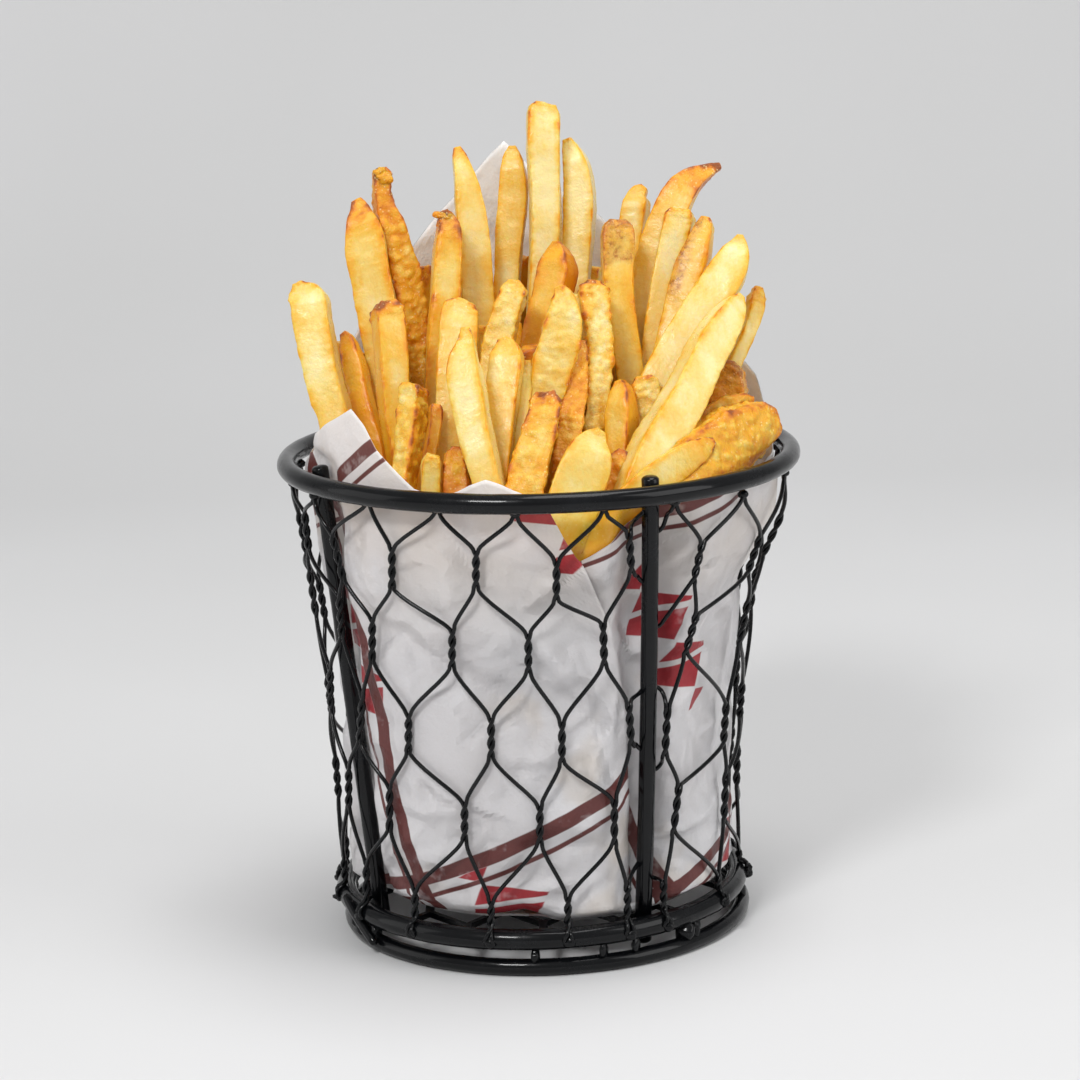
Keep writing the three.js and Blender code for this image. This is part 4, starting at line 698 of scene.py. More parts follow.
def outline(hx, hy, rc, arc, side):
    """A rounded rectangle: points, outward normals and how near each point is to a corner."""
    P, N, K = [], [], []
    for q, (sx, sy) in enumerate([(1, 1), (-1, 1), (-1, -1), (1, -1)]):
        t = np.linspace(0, 1, arc)
        a = (q + t) * np.pi / 2
        c = np.stack([sx * (hx - rc), sy * (hy - rc)], -1)
        n = np.stack([np.cos(a), np.sin(a)], -1)
        P.append(c[:, None] + rc[:, None, None] * n[None])
        N.append(np.broadcast_to(n[None], (len(hx), arc, 2)))
        K.append(0.55 + 0.45 * np.sin(np.pi * t))
        nx, ny = [(-1, 1), (-1, -1), (1, -1), (1, 1)][q]
        c2 = np.stack([nx * (hx - rc), ny * (hy - rc)], -1)
        n2 = n[-1]
        u = np.linspace(0, 1, side + 2)[1:-1]
        start = c + rc[:, None] * n2
        end = c2 + rc[:, None] * n2
        P.append(start[:, None] * (1 - u)[None, :, None] + end[:, None] * u[None, :, None])
        N.append(np.broadcast_to(n2[None, None], (len(hx), side, 2)))
        K.append(np.where((np.arange(side) == 0) | (np.arange(side) == side - 1), 0.10, 0.0))
    return np.concatenate(P, 1), np.concatenate(N, 1), np.concatenate(K)


def fry(build, stations, style, seed, ds=0.6, arc=5, side=5, view=VIEW, fine_to=99.0):
    """One fry: a slightly skewed, sharp-edged square section swept along its centreline from tip to foot."""
    rng = np.random.default_rng(seed)
    S = np.asarray(stations, float)
    P, w = S[:, :3] + np.array(style.get("shift", (0, 0, 0))), S[:, 3] * style.get("grow", 1.0)
    s = np.concatenate([[0], np.cumsum(np.linalg.norm(np.diff(P, axis=0), axis=1))])
    low = s[-1]
    for k in range(len(s) - 1):
        if P[k, 2] >= fine_to > P[k + 1, 2]:
            low = s[k] + (s[k + 1] - s[k]) * (P[k, 2] - fine_to) / (P[k, 2] - P[k + 1, 2])
    near = min(4.5, low * 0.5)
    xs = np.concatenate([np.linspace(0, near, int(near / (ds * 0.52)) + 1)[:-1], np.linspace(near, low, max(4, int((low - near) / ds)))])
    if s[-1] - low > 1.0:
        xs = np.concatenate([xs, np.linspace(low, s[-1], max(3, int((s[-1] - low) / 2.0)) + 1)[1:]])
    C = np.stack([catmull(s, P[:, k], xs) for k in range(3)], -1)
    W = monotone(s, w, xs)
    wide = np.percentile(w, 75)
    deep = style.get("deep", rng.uniform(0.86, 1.0)) * min(wide, 8.7)
    w0 = W[0]
    tipd = 0.42 + 0.5 * min(1.0, w0 / wide)
    D = deep * (tipd + (1 - tipd) * smooth(xs / 5.5))
    D = D * np.clip(W / wide, 0.45, 1.0) ** 0.35
    lip = [(0.50, 0.06), (0.50, 0.34), (0.47, 0.62), (0.36, 0.86), (0.16, 0.97)]
    big = min(1.0, w0 / 5.0)
    T = unit(np.gradient(C, axis=0))
    h0 = 0.35 + 0.65 * big
    lead = np.array([C[0] - T[0] * h0 * a for a, _ in lip])
    C = np.vstack([lead, C])
    scale = np.concatenate([[b for _, b in lip], np.ones(len(xs))])
    W = np.concatenate([[w0] * len(lip), W])
    D = np.concatenate([[D[0]] * len(lip), D])
    xs = np.concatenate([[-h0 * a for a, _ in lip], xs])
    T = np.vstack([np.repeat(T[:1], len(lip), 0), T])
    U = unit(np.cross(T, view))
    B = np.cross(T, U)
    rows = len(C)
    rc = style.get("corner", rng.uniform(0.07, 0.12)) * np.minimum(W, D) + 0.10 * np.exp(-np.maximum(xs, 0) / 2.0)
    rc = np.minimum(rc, 0.46 * np.minimum(W, D))
    XY, NN, K = outline(W / 2, D / 2, rc, arc, side)
    m = XY.shape[1]
    X, Y = XY[..., 0], XY[..., 1]
    hx, hy = (W / 2)[:, None], (D / 2)[:, None]
    # hollow faces, skew and taper of the section
    dish = style.get("dish", rng.uniform(0.02, 0.07))
    grown = np.clip(xs / 7, 0, 1)[:, None]
    flatx, flaty = np.abs(NN[..., 0]) > 0.999, np.abs(NN[..., 1]) > 0.999
    X = X - np.where(flatx, np.sign(NN[..., 0]) * dish * hx * (1 - np.clip(np.abs(Y) / hy, 0, 1) ** 2) * grown, 0)
    Y = Y - np.where(flaty, np.sign(NN[..., 1]) * dish * hy * (1 - np.clip(np.abs(X) / hx, 0, 1) ** 2) * grown, 0)
    X0 = X / hx
    skew, trap = rng.uniform(-0.12, 0.12), rng.uniform(-0.10, 0.10)
    X = X + skew * Y
    X = X * (1 + trap * Y / hy)
    turn = rad(style.get("rot", rng.uniform(-16, 16)))
    twist = turn + rad(style.get("twist", rng.uniform(-9, 9))) * np.clip(xs / 60.0, 0, 1.2)[:, None]
    ct, st = np.cos(twist), np.sin(twist)
    X, Y = X * ct - Y * st, X * st + Y * ct
    NX, NY = NN[..., 0] * ct - NN[..., 1] * st, NN[..., 0] * st + NN[..., 1] * ct
    fit = hx / np.abs(X).max(axis=1, keepdims=True)
    X = X * fit
    Y = Y * np.clip(fit, 0.85, 1.0)
    X, Y = X * scale[:, None], Y * scale[:, None]
    Q = C[:, None] + X[..., None] * U[:, None] + Y[..., None] * B[:, None]
    N = unit(NX[..., None] * U[:, None] + NY[..., None] * B[:, None])
    capn = np.clip(1 - scale, 0, 1)[:, None, None] ** 0.5
    N = unit(N * (1 - capn) - T[:, None] * capn)
    G = Q.reshape(-1, 3) + np.array([seed * 17.3, seed * 5.1, seed * 2.7])
    grid = lambda v: v.reshape(rows, m)
    tip = np.repeat(xs, m).reshape(rows, m)
    fade = np.clip(W / max(wide, 1e-6), 0.2, 1)[:, None]
    bl = style.get("blister", 0.0)
    tb = style.get("tipb", 0.25)
    lump, mid = grid(noise(G, 6.0, 11)), grid(noise(G, 2.5, 12))
    small, tiny = grid(noise(G, 1.25, 13)), grid(noise(G, 0.7, 14))
    corner = np.broadcast_to(K[None], (rows, m)) * np.where(scale[:, None] > 0.9, 1, 0)
    tipzone = np.exp(-(np.maximum(tip, 0) / 3.0) ** 1.5) * style.get("crusty", 0.45 + 0.55 * tb)
    high = 0.16 * lump + 0.08 * mid + 0.035 * small + 0.02 * tiny
    high = high - corner * (0.08 + 0.20 * np.clip(small + 0.2, 0, 1) + 0.20 * np.clip(tiny, 0, 1))
    puff = np.maximum(mid + 0.4 * small, 0) ** 1.2
    crack = 1 - np.abs(small)
    high = high + bl * (0.36 * puff + 0.17 * small + 0.12 * tiny + 0.08 * crack ** 4 - 0.14)
    high = high + tipzone * (0.26 * small + 0.34 * tiny + 0.16 * mid)
    high = high + 0.045 * np.clip(tiny + small - 0.1, 0, 1) * (1 - corner)
    domes = np.zeros((rows, m))
    if side >= 5:
        flatq, ft = Q.reshape(-1, 3), tip.reshape(-1)
        spots = []
        if bl > 0.3:
            ok = np.nonzero((flatq[:, 2] > 95) & (ft > 1.0) & (ft < low))[0]
            spots += [(k, rng.uniform(0.6, 1.35), rng.uniform(0.18, 0.38)) for k in rng.choice(ok, size=int(bl * 6.0 * low), replace=True)]
        if tb >= 0.4:
            ok = np.nonzero(ft < 1.0 + 2.2 * tb)[0]
            spots += [(k, rng.uniform(0.45, 0.85), rng.uniform(0.20, 0.42)) for k in rng.choice(ok, size=int(34 * tb), replace=True)]
        for k, size, up in spots:
            d = np.linalg.norm(Q - flatq[k], axis=-1) / size
            domes = np.maximum(domes, up * np.clip(1 - d * d, 0, 1))
        high = high + domes
    Q = Q + N * (high * fade)[..., None]
    axial = np.clip(1 - tip / 1.6, 0, 1) * (0.45 * mid + 0.42 * small + 0.22 * tiny) * (0.5 + 0.6 * tipzone) * big
    Q = Q + T[:, None] * axial[..., None]
    # a slanting cut across the tip
    Q = Q - T[:, None] * (style.get("cut", 0.0) * X * np.exp(-(np.maximum(tip, 0) / 6.0) ** 1.5))[..., None]
    # how done it is; some lines below add painted light and shade
    base = TOAST[style.get("kind", "gold")] + rng.uniform(-0.02, 0.02)
    reach = style.get("reach", 1.4 + 3.2 * tb)
    patchy = np.clip(0.75 + 0.8 * grid(noise(G, 3.0, 15)) + 0.3 * small, 0.1, 1.5)
    spots = 0.50 + 1.0 * np.clip(0.6 * small + 0.8 * tiny + 0.3, 0, 1)
    brown = (0.05 + 0.44 * tb) * np.exp(-(np.maximum(tip, 0) / reach) ** 1.25) * patchy * spots
    brown = brown + style.get("burn", 0.0) * np.exp(-(np.maximum(tip, 0) / style.get("burnt", 6.0)) ** 1.6) * np.clip(0.85 + 0.4 * mid + 0.25 * small, 0.4, 1.3)
    line = np.exp(-(np.maximum(tip - 0.1, 0) / 0.6) ** 2) * np.clip(scale[:, None] * 1.6 - 0.6, 0, 1)
    brown = brown + line * (0.07 + 0.26 * np.clip(small + 0.6 * tiny + 0.3 * mid + 0.05, 0, 1))
    edge = corner * (0.07 + 0.34 * np.clip(mid + 0.35 * small - 0.05, 0, 1) + 0.08 * np.clip(tiny, 0, 1))
    K2 = np.broadcast_to(np.convolve(np.concatenate([K, K, K]), np.ones(5) / 5, "same")[len(K):2 * len(K)][None], (rows, m))
    edge = edge + 0.08 * K2 + corner * 0.12 * np.clip(tiny + 0.3 * small, 0, 1)
    edge = edge + corner * 0.22 * np.exp(-(np.maximum(tip, 0) / 9.0) ** 2) * np.clip(0.55 + mid + 0.5 * small, 0, 1.2) * style.get("lines", 1.0)
    streak = 0.07 * grid(noise(G * np.array([1, 1, 0.28]), 3.0, 16))
    toast = base + brown + edge + streak + 0.07 * lump
    toast = toast + bl * (0.12 * np.clip(-small, 0, 1) + 0.08 * puff - 0.05 + 0.10 * np.clip(tiny, 0, 1))
    # painted highlight and shade on the bumps: lighter on the dome tops, darker between them
    if side >= 5 and (bl > 0.3 or tb >= 0.4):
        toast = toast + np.where(domes > 0.02, -0.10 * np.clip(domes / 0.3, 0, 1), 0.05) * np.clip(bl + tipzone, 0, 1)
    # painted shade: one side face of some fries is made darker, as if turned away from the light
    face = style.get("side", 0.0)
    if face:
        toast = toast + abs(face) * np.clip(np.sign(face) * NX * 1.6 - 0.3, 0, 1)
    # painted shade: deeper and browner orange low down, under the rim, standing in for the warm shade there
    toast = toast + 0.17 * smooth((103.5 - Q[..., 2]) / 9)
    backs = np.clip(-NY, 0, 1)
    # painted shade: deeper and browner lower down between the fries; the faces turned to the back are also made a
    # little darker
    toast = toast + 0.06 * backs + 0.20 * np.clip((127 - Q[..., 2]) / 50, 0, 0.55)
    sk = np.zeros_like(toast)
    if style.get("skin"):
        length = style.get("skinlen", 0.28) * s[-1]
        edge_at = length * (1 + 0.30 * grid(noise(G, 4.0, 18)) + 0.22 * small)
        sk = np.clip(style["skin"], 0, 1) * smooth((edge_at - tip) / 5.0) * np.clip(0.8 + 0.5 * mid, 0.2, 1)
        if style.get("skinside"):
            sk = sk * smooth(np.sign(style["skinside"]) * X0 * 1.6 + 0.35)
    pale = np.clip(0.35 + 0.9 * grid(noise(G, 5.5, 19)) - corner * 1.5, 0, 1) * np.clip(tip / 4, 0, 1)
    crust = np.clip(tipzone + bl * 0.8 + brown, 0, 1)
    pts = Q.reshape(-1, 3)
    pts = keep_inside(pts)
    pts = np.vstack([pts, pts[:m].mean(0), pts[-m:].mean(0)])
    faces = ring_faces(rows, m)[:, ::-1]
    i0, i1 = rows * m, rows * m + 1
    faces = [tuple(f) for f in faces]
    faces += [(i0, j, (j + 1) % m) for j in range(m)]
    faces += [(i1, (rows - 1) * m + (j + 1) % m, (rows - 1) * m + j) for j in range(m)]
    flat = lambda v: np.concatenate([v.reshape(-1), [v[0].mean(), v[-1].mean()]])
    k = m * (rows // 2)
    f = faces[k]
    e = np.cross(pts[f[1]] - pts[f[0]], pts[f[2]] - pts[f[0]])
    if np.dot(e, pts[f[0]] - C[rows // 2]) < 0:
        faces = [tuple(reversed(f)) for f in faces]
    build.add(pts, faces, toast=flat(np.clip(toast, 0, 1)), skin=flat(sk), pale=flat(pale), crust=flat(crust))


def keep_inside(pts):
    """Below the sheet's edge the fries lie against the sheet, so that none cuts through it."""
    z = pts[:, 2]
    cx = centre_x(z)
    x, y = pts[:, 0] - cx, pts[:, 1]
    r = np.hypot(x, y)
    az = np.degrees(np.arctan2(x, -y))
    limit = paper_inner(az, z) - 0.12
    top = paper_top(az)
    t = 1 - smooth((z - top) / 7.0)
    want = np.minimum(r, limit)
    r2 = r + (want - r) * t
    k = r2 / np.maximum(r, 1e-6)
    out = pts.copy()
    out[:, 0] = cx + x * k
    out[:, 1] = y * k
    return out


def stations_width(stations):
    return max(row[3] for row in stations)


def make_fries():
    material = fry_material("fried_potato")
    groups = {"fries_front": Build(LAYERS), "fries_middle": Build(LAYERS), "fries_rear": Build(LAYERS), "fries_filler": Build(LAYERS)}
    order = sorted(range(len(FRIES)), key=lambda i: FRIES[i][2][0][1])
    third = len(order) / 3
    for rank, i in enumerate(order):
        name, style, stations = FRIES[i]
        group = ("fries_front", "fries_middle", "fries_rear")[min(2, int(rank / third))]
        rough = style.get("blister", 0) > 0.3
        low = 84.0 if name in ("f31", "f34") else 98.0
        fry(groups[group], stations, {**style, **LOOKS.get(name, {})}, 100 + i, ds=0.40 if rough else 0.50, arc=5, side=max(10, int(stations_width(stations) * 1.4)) if rough else 5, fine_to=low)
    # flaps of crust folded over two of the tips
    for x, y, z, size, axis, tone in [(-31.6, 17.0, 164.3, (1.25, 1.3, 2.0), (1.0, 0.1, -0.45), 0.52), (-32.8, 17.6, 165.2, (1.2, 1.2, 1.5), (0.3, 0.2, 1.0), 0.50),
                                      (-19.3, 10.6, 156.2, (0.8, 1.0, 2.0), (1.0, 0.0, -0.25), 0.60), (-17.9, 10.8, 155.7, (0.8, 0.9, 1.4), (1.0, 0.1, 0.2), 0.56),
                                      (-31.9, -13.0, 139.9, (0.7, 0.8, 1.3), (1.0, 0.0, 0.2), 0.62), (-30.2, -13.3, 140.1, (0.7, 0.8, 1.2), (1.0, 0.2, -0.2), 0.56)]:
        blob(groups["fries_rear"], (x, y, z), size, axis=axis, seed=int(abs(x) * 10), amount=0.34, n=20, m=26, toast=tone, skin=0.0, pale=0.0, crust=1.0)
    rng = np.random.default_rng(77)
    kinds = ["pale", "gold", "gold", "amber", "vpale", "yellow", "gold", "dark"]
    filler = groups["fries_filler"]
    for i, (width, P) in enumerate(BEHIND):
        P = np.array(P)
        u = np.linspace(0, 1, 9)
        C = (1 - u)[:, None] ** 2 * P[0] + 2 * (u * (1 - u))[:, None] * (2 * P[1] - (P[0] + P[2]) / 2) + (u ** 2)[:, None] * P[2]
        tipw = rng.uniform(0.35, 0.95)
        W = width * np.minimum(1, tipw + (1 - tipw) * (np.arange(9) / rng.uniform(1.0, 2.6)) ** 0.7)
        a = rng.uniform(0, 2 * np.pi)
        style = dict(kind=kinds[rng.integers(len(kinds))], tipb=float(rng.uniform(0, 0.8)), blister=float(rng.choice([0, 0, 0.5, 0.9])))
        fry(filler, np.column_stack([C, W]), style, 300 + i, ds=1.2, arc=3, side=3, view=np.array([math.cos(a), math.sin(a), -0.1]))
    # short ones between, which close the heap below the tips
    placed = []
    for x, y in [(x, y) for x in np.arange(-42, 43, 8.2) for y in np.arange(-42, 43, 8.2)]:
        x, y = x + rng.uniform(-1.8, 1.8), y + rng.uniform(-1.8, 1.8)
        r = math.hypot(x, y)
        if r > 42.5:
            continue
        z = 99 + rng.uniform(-3, 8) - 0.0035 * r * r + (3.0 if y > 0 else -2.0)
        lean = rng.uniform(-0.14, 0.14, 2) + 0.10 * np.array([x, y]) / 42
        u = np.linspace(0, 1, 6)[:, None]
        top = np.array([x, y, z])
        C = top - u * np.array([lean[0] * 22, lean[1] * 22, 22])
        width = rng.uniform(7.0, 9.0)
        W = width * np.array([0.8, 1, 1, 1, 1, 1])
        a = rng.uniform(0, 2 * np.pi)
        style = dict(kind=["gold", "amber", "dark", "gold"][rng.integers(4)], tipb=float(rng.uniform(0, 0.6)))
        fry(filler, np.column_stack([C, W]), style, 500 + len(placed), ds=1.5, arc=3, side=2, view=np.array([math.cos(a), math.sin(a), -0.1]), fine_to=80)
        placed.append((x, y))
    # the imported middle, out of sight
    core = Build(LAYERS)
    az = np.linspace(0, 360, 48, endpoint=False)
    rows = []
    for z, r in [(10.9, 31.0), (12.0, 33.0), (30, 33.5), (60, 34.5), (80, 36.0), (88, 34.0), (91, 28.0), (92, 12.0)]:
        P = cyl(az, r, np.full(48, float(z)))
        P = P + unit(P * [1, 1, 0]) * (0.5 * noise(P, 4.0, 5))[:, None]
        rows.append(P)
    pts = np.vstack(rows + [[UP_X, 0, 10.9], [0, 0, 92.3]])
    faces = [tuple(f) for f in ring_faces(len(rows), 48)]
    a, b = len(pts) - 2, len(pts) - 1
    faces += [(a, (j + 1) % 48, j) for j in range(48)]
    faces += [(b, (len(rows) - 1) * 48 + j, (len(rows) - 1) * 48 + (j + 1) % 48) for j in range(48)]
    core.add(keep_inside(pts), faces, toast=0.66, skin=0.0, pale=0.0, crust=0.4)
    core.finish("fries_core", material, "fries", ("fries",))
    for name, group in groups.items():
        group.finish(name, material, "fries")


# ------------------------------------------------------------------------------------------------ netting
# Twists by row from the rim down: column, azimuth and height of the top and of the foot.
TWISTS = {
    1: {-5: (-69.5, 97.2, -72.3, 88.4), -4: (-55.7, 94.5, -53.8, 84.8), -3: (-35.7, 93.5, -37.2, 84.6), -2: (-14.6, 94.2, -15.2, 85.9),
        -1: (3.4, 91.8, 3.4, 83.1), 0: (19.6, 96.6, 20.9, 87.9), 1: (39.7, 91.8, 38.3, 83.8), 2: (65.7, 88.7, 62.6, 81.2), 3: (86.0, 90.0, 86.5, 80.7)},
    2: {-5.5: (-76.6, 83.0, -81.7, 71.8), -4.5: (-56.9, 80.6, -58.4, 71.5), -3.5: (-44.9, 76.9, -46.8, 67.8), -2.5: (-21.8, 76.7, -22.6, 68.2),
        -1.5: (-3.2, 76.1, -3.3, 67.5), -0.5: (14.5, 77.6, 15.2, 68.3), 1.5: (40.6, 75.9, 38.0, 68.0), 2.5: (69.9, 73.5, 65.3, 65.3)},
    3: {-5: (-69.7, 61.7, -75.1, 52.2), -4: (-52.4, 58.7, -56.1, 48.2), -3: (-36.3, 56.7, -37.4, 48.1), -2: (-13.0, 57.5, -13.4, 48.6),
        -1: (4.9, 56.5, 5.0, 47.4), 0: (22.0, 58.9, 23.2, 49.9), 1: (33.4, 56.2, 33.5, 46.4), 2: (60.4, 52.4, 60.6, 43.3), 3: (88.0, 51.5, 88.0, 43.5)},
    4: {-4.5: (-64.3, 40.3, -66.9, 31.5), -3.5: (-45.0, 39.5, -46.2, 29.7), -2.5: (-21.2, 38.3, -21.6, 29.8), -1.5: (-0.8, 38.0, -0.9, 29.6),
        -0.5: (19.0, 38.1, 19.3, 28.3), 1.5: (39.2, 38.3, 37.9, 28.2), 2.5: (64.4, 36.0, 63.6, 25.7)},
    5: {-4: (-58.2, 19.8, -59.8, 9.4), -3: (-37.8, 17.3, -38.2, 8.4), -2: (-14.4, 16.6, -14.5, 9.3), -1: (6.6, 17.5, 6.6, 9.3),
        0: (23.4, 18.1, 23.6, 10.5), 1: (35.0, 17.0, 35.3, 9.1), 2: (59.6, 13.9, 59.3, 8.3), 3: (87.8, 12.9, 86.4, 8.4)},
}
APEXES = {-3.5: (-41.1, 103.3), -2.5: (-23.0, 102.7), -1.5: (-5.6, 101.8), -0.5: (13.7, 101.9), 0.5: (30.6, 101.4), 1.5: (52.4, 99.8), 2.5: (80.1, 99.6)}
HIDDEN = {0: 101.5, 1: (93.5, 84.8), 2: (76.8, 68.2), 3: (56.8, 47.8), 4: (38.2, 29.2), 5: (17.2, 9.4)}


def full_row(known, row):
    """The measured twists of a row and, evenly spaced round the back, the rest."""
    cols = sorted(known)
    rng = np.random.default_rng(40 + row)
    have = dict(known)
    first, last = cols[0], cols[-1]
    expected = [first + i for i in range(COLUMNS)]
    if row in (2, 4):
        expected = [c for c in expected if c != 0.5]
    missing = [c for c in expected if c > last]
    az0 = known[last][0]
    az1 = known[first][0] + 360
    for i, c in enumerate(missing):
        az = az0 + (az1 - az0) * (i + 1) / (len(missing) + 1) + rng.uniform(-1.2, 1.2)
        if row == 0:
            have[c] = (az, HIDDEN[0] + rng.uniform(-0.5, 0.5))
        else:
            top, foot = HIDDEN[row]
            dz = rng.uniform(-0.8, 0.8)
            have[c] = (az, top + dz, az + rng.uniform(-1.0, 1.0), foot + (dz if row < 5 else 0.0))
    return have


def net_radius(az, z):
    """The netting's surface, which passes over the front of the upper base ring and tucks in under the rim."""
    z = np.asarray(z, float)
    r = wall_radius(az, z) - 0.15
    over = UP_R + np.sqrt(np.maximum(0, (UP_WIRE + STRAND + 0.1) ** 2 - (z - UP_Z) ** 2))
    r = np.where(z < 12.5, np.maximum(r, over), r)
    return r - 0.35 * smooth((z - 98.5) / 4.0)


def net_points(controls):
    """Controls (azimuth, height, side shift, outward shift) to a smooth path on the netting's surface."""
    K = np.array(controls, float)
    r = net_radius(K[:, 0], K[:, 1])
    az = K[:, 0] + np.degrees(K[:, 2] / r)
    return cyl(az, r + K[:, 3], K[:, 1])


def smooth_path(P, step=0.8):
    P = np.asarray(P, float)
    s = np.concatenate([[0], np.cumsum(np.linalg.norm(np.diff(P, axis=0), axis=1))])
    keep = np.concatenate([[True], np.diff(s) > 1e-4])
    P, s = P[keep], s[keep]
    n = max(4, int(s[-1] / step) + 1)
    xs = np.linspace(0, s[-1], n)
    return np.stack([catmull(s, P[:, k], xs) for k in range(3)], -1)


def rod_point(rod, z, side, out=0.0):
    """A point beside a rod: side -1 left, +1 right, out towards the outside."""
    t = np.clip((z - ROD_BOTTOM) / (ROD_TOP - ROD_BOTTOM), 0, 1)
    az = rod[1] + (rod[0] - rod[1]) * t
    r = ROD_IN_BOTTOM + (ROD_IN_TOP - ROD_IN_BOTTOM) * t
    c = cyl(az, r, z)
    tang = np.array([math.cos(rad(az)), math.sin(rad(az)), 0.0])
    outw = np.array([math.sin(rad(az)), -math.cos(rad(az)), 0.0])
    return c + tang * side + outw * out


def make_netting():
    rows = {0: full_row(APEXES, 0)}
    for r in range(1, 6):
        rows[r] = full_row(TWISTS[r], r)
    key = lambda c: round(((c * 2) % (2 * COLUMNS)))
    table = {r: {key(c): v for c, v in row.items()} for r, row in rows.items()}
    build = Build()
    rho = STRAND * 1.0
    rng = np.random.default_rng(9)
    jitter = {}

    def twist_controls(row, k, s):
        azt, zt, azf, zf = table[row][k]
        d = (azf - azt + 180) % 360 - 180
        if (row, k) not in jitter:
            jitter[(row, k)] = rng.uniform(-0.3, 0.3)
        phase = jitter[(row, k)]
        out = []
        n = 19
        for i in range(n):
            u = i / (n - 1)
            phi = (math.pi if s > 0 else 0.0) + 3 * math.pi * u + phase * math.sin(math.pi * u)
            out.append((azt + d * u, zt + (zf - zt) * u, rho * math.cos(phi), rho * math.sin(phi)))
        return out

    def bend(a, b, side_a, side_b, seed):
        """The run between two twists: it leaves each along its axis and turns into the slope."""
        g = np.random.default_rng(seed)
        d = (b[0] - a[0] + 180) % 360 - 180
        sag = g.uniform(-0.35, 0.35)
        pts = []
        for u in (0.09, 0.26, 0.5, 0.74, 0.91):
            e = u - 0.035 * math.sin(2 * math.pi * u)
            pts.append((a[0] + d * e, a[1] + (b[1] - a[1]) * (u - 0.010 * math.sin(2 * math.pi * u)), side_a * (1 - u) ** 3 * 0.5 + side_b * u ** 3 * 0.5,
                        0.25 * math.sin(math.pi * u) + sag * math.sin(math.pi * u) * 0.6))
        return pts

    def near_rod(z, side):
        return rod_point(RODS[1], z, side * (ROD_WIRE + STRAND * 0.9), 0.4)

    seam = key(0.5)
    wires, feet = [], []

    def path_of(controls):
        return net_points(controls)

    for k0 in table[0]:
        for s in (1, -1):
            az, z = table[0][k0]
            controls = [(az, z + 1.0, -0.25 * s, -0.1), (az, z + 0.2, 0.05 * s, 0.0), (az, z - 0.6, 0.55 * s, 0.1)]
            end = None
            prev = (az, z - 0.6)
            prev_side = 0.55 * s
            start = None
            k = k0
            if k0 == seam and s == -1:  # from the apex over the rod to the rod's right side
                P = list(path_of(controls))
                P += [near_rod(97.4, 1.0) + np.array([1.3, 0.0, 1.2]), near_rod(95.6, 1.0), rod_point(RODS[1], 94.6, 1.0, -0.5)]
                wires.append(np.array(P))
                k = key(0.0)
                azt, zt, _, _ = table[1][k]
                controls = []
                start = [rod_point(RODS[1], 100.2, -0.9, -0.5), near_rod(99.6, -1.0), near_rod(98.9, -1.0) + np.array([-1.0, 0.1, -0.2])]
                prev = None
                row0 = 1
            else:
                row0 = 1
                k = (k0 + s) % (2 * COLUMNS)
            row = row0
            while row <= 5:
                if (row in (2, 4)) and k == seam:
                    # the wire hooks round the rod; the run below starts afresh from the rod
                    side = -1.0 if s > 0 else 1.0
                    z_in = {2: 79.5 if s > 0 else 70.5, 4: 42.5 if s > 0 else 38.8}[row]
                    z_in = {(2, 1): 84.8, (2, -1): 74.4, (4, 1): 47.6, (4, -1): 42.3}[(row, s)]
                    P = list(start or []) + list(path_of(controls))
                    P += [near_rod(z_in + 0.9, side) + np.array([side * 0.8, 0.0, 0.3]), near_rod(z_in, side) - np.array([0.0, -0.5, 0.0]),
                          rod_point(RODS[1], z_in - 0.5, side * 0.9, -0.5)]
                    wires.append(np.array(P))
                    z_out = {(2, 1): 62.6, (2, -1): 60.3, (4, 1): 21.2, (4, -1): 20.6}[(row, s)]
                    # s > 0: the wire below belongs to the right side of the seam; s < 0: to the left
                    side2 = 1.0 if s > 0 else -1.0
                    z_out = {(2, 1): 61.0, (2, -1): 60.9, (4, 1): 17.6, (4, -1): 21.6}[(row, s)]
                    start = [rod_point(RODS[1], z_out + 0.2, side2 * 0.9, -0.5), near_rod(z_out - 0.5, side2) - np.array([0.0, -0.5, 0.0])]
                    controls = []
                    prev = None
                else:
                    top = table[row][k]
                    t = twist_controls(row, k, s)
                    if prev is not None:
                        controls += bend(prev, (top[0], top[1]), prev_side, t[0][2], 1000 * row + 10 * k + (1 if s > 0 else 0))
                    controls += t
                    prev = (top[2], top[3])
                    prev_side = t[-1][2]
                row += 1
                k = (k + s) % (2 * COLUMNS)
            # the end: on over the ring's front, ending in a small hook
            if prev is not None:
                az, z = prev
                low = 8.3 if s > 0 else 8.9
                controls += [(az, max(low + 0.45, z - 0.5), prev_side * 1.2, -0.05), (az, low, prev_side * 1.7, -0.2),
                             (az, low - 0.8, prev_side * 2.3, -0.6)]
                feet.append((az, low - 0.3))
            P = list(start or []) + list(path_of(controls))
            if len(P) > 3:
                wires.append(np.array(P))
    for P in wires:
        tube(build, smooth_path(P, 0.85), STRAND, sides=8)
    for i, (az, z) in enumerate(feet):
        if i % 2 == 0:
            c = net_points([(az, z - 0.3, 0, -0.75)])[0]
            blob(build, c, (1.5, 0.8, 1.1), axis=(0, 0, 1), seed=i + 300, n=7, m=10, amount=0.25)
    # little lumps of paint where the netting meets the rim
    for k, (az, z) in table[0].items():
        c = net_points([(az, z + 0.5, 0, -0.1)])[0]
        blob(build, c, (1.25, 0.95, 0.95), axis=(0, 0, 1), seed=int(k) + 3, n=7, m=10)
    return build.finish("netting", metal_material("coated_netting", 0.9), "netting", ("wire_net",))


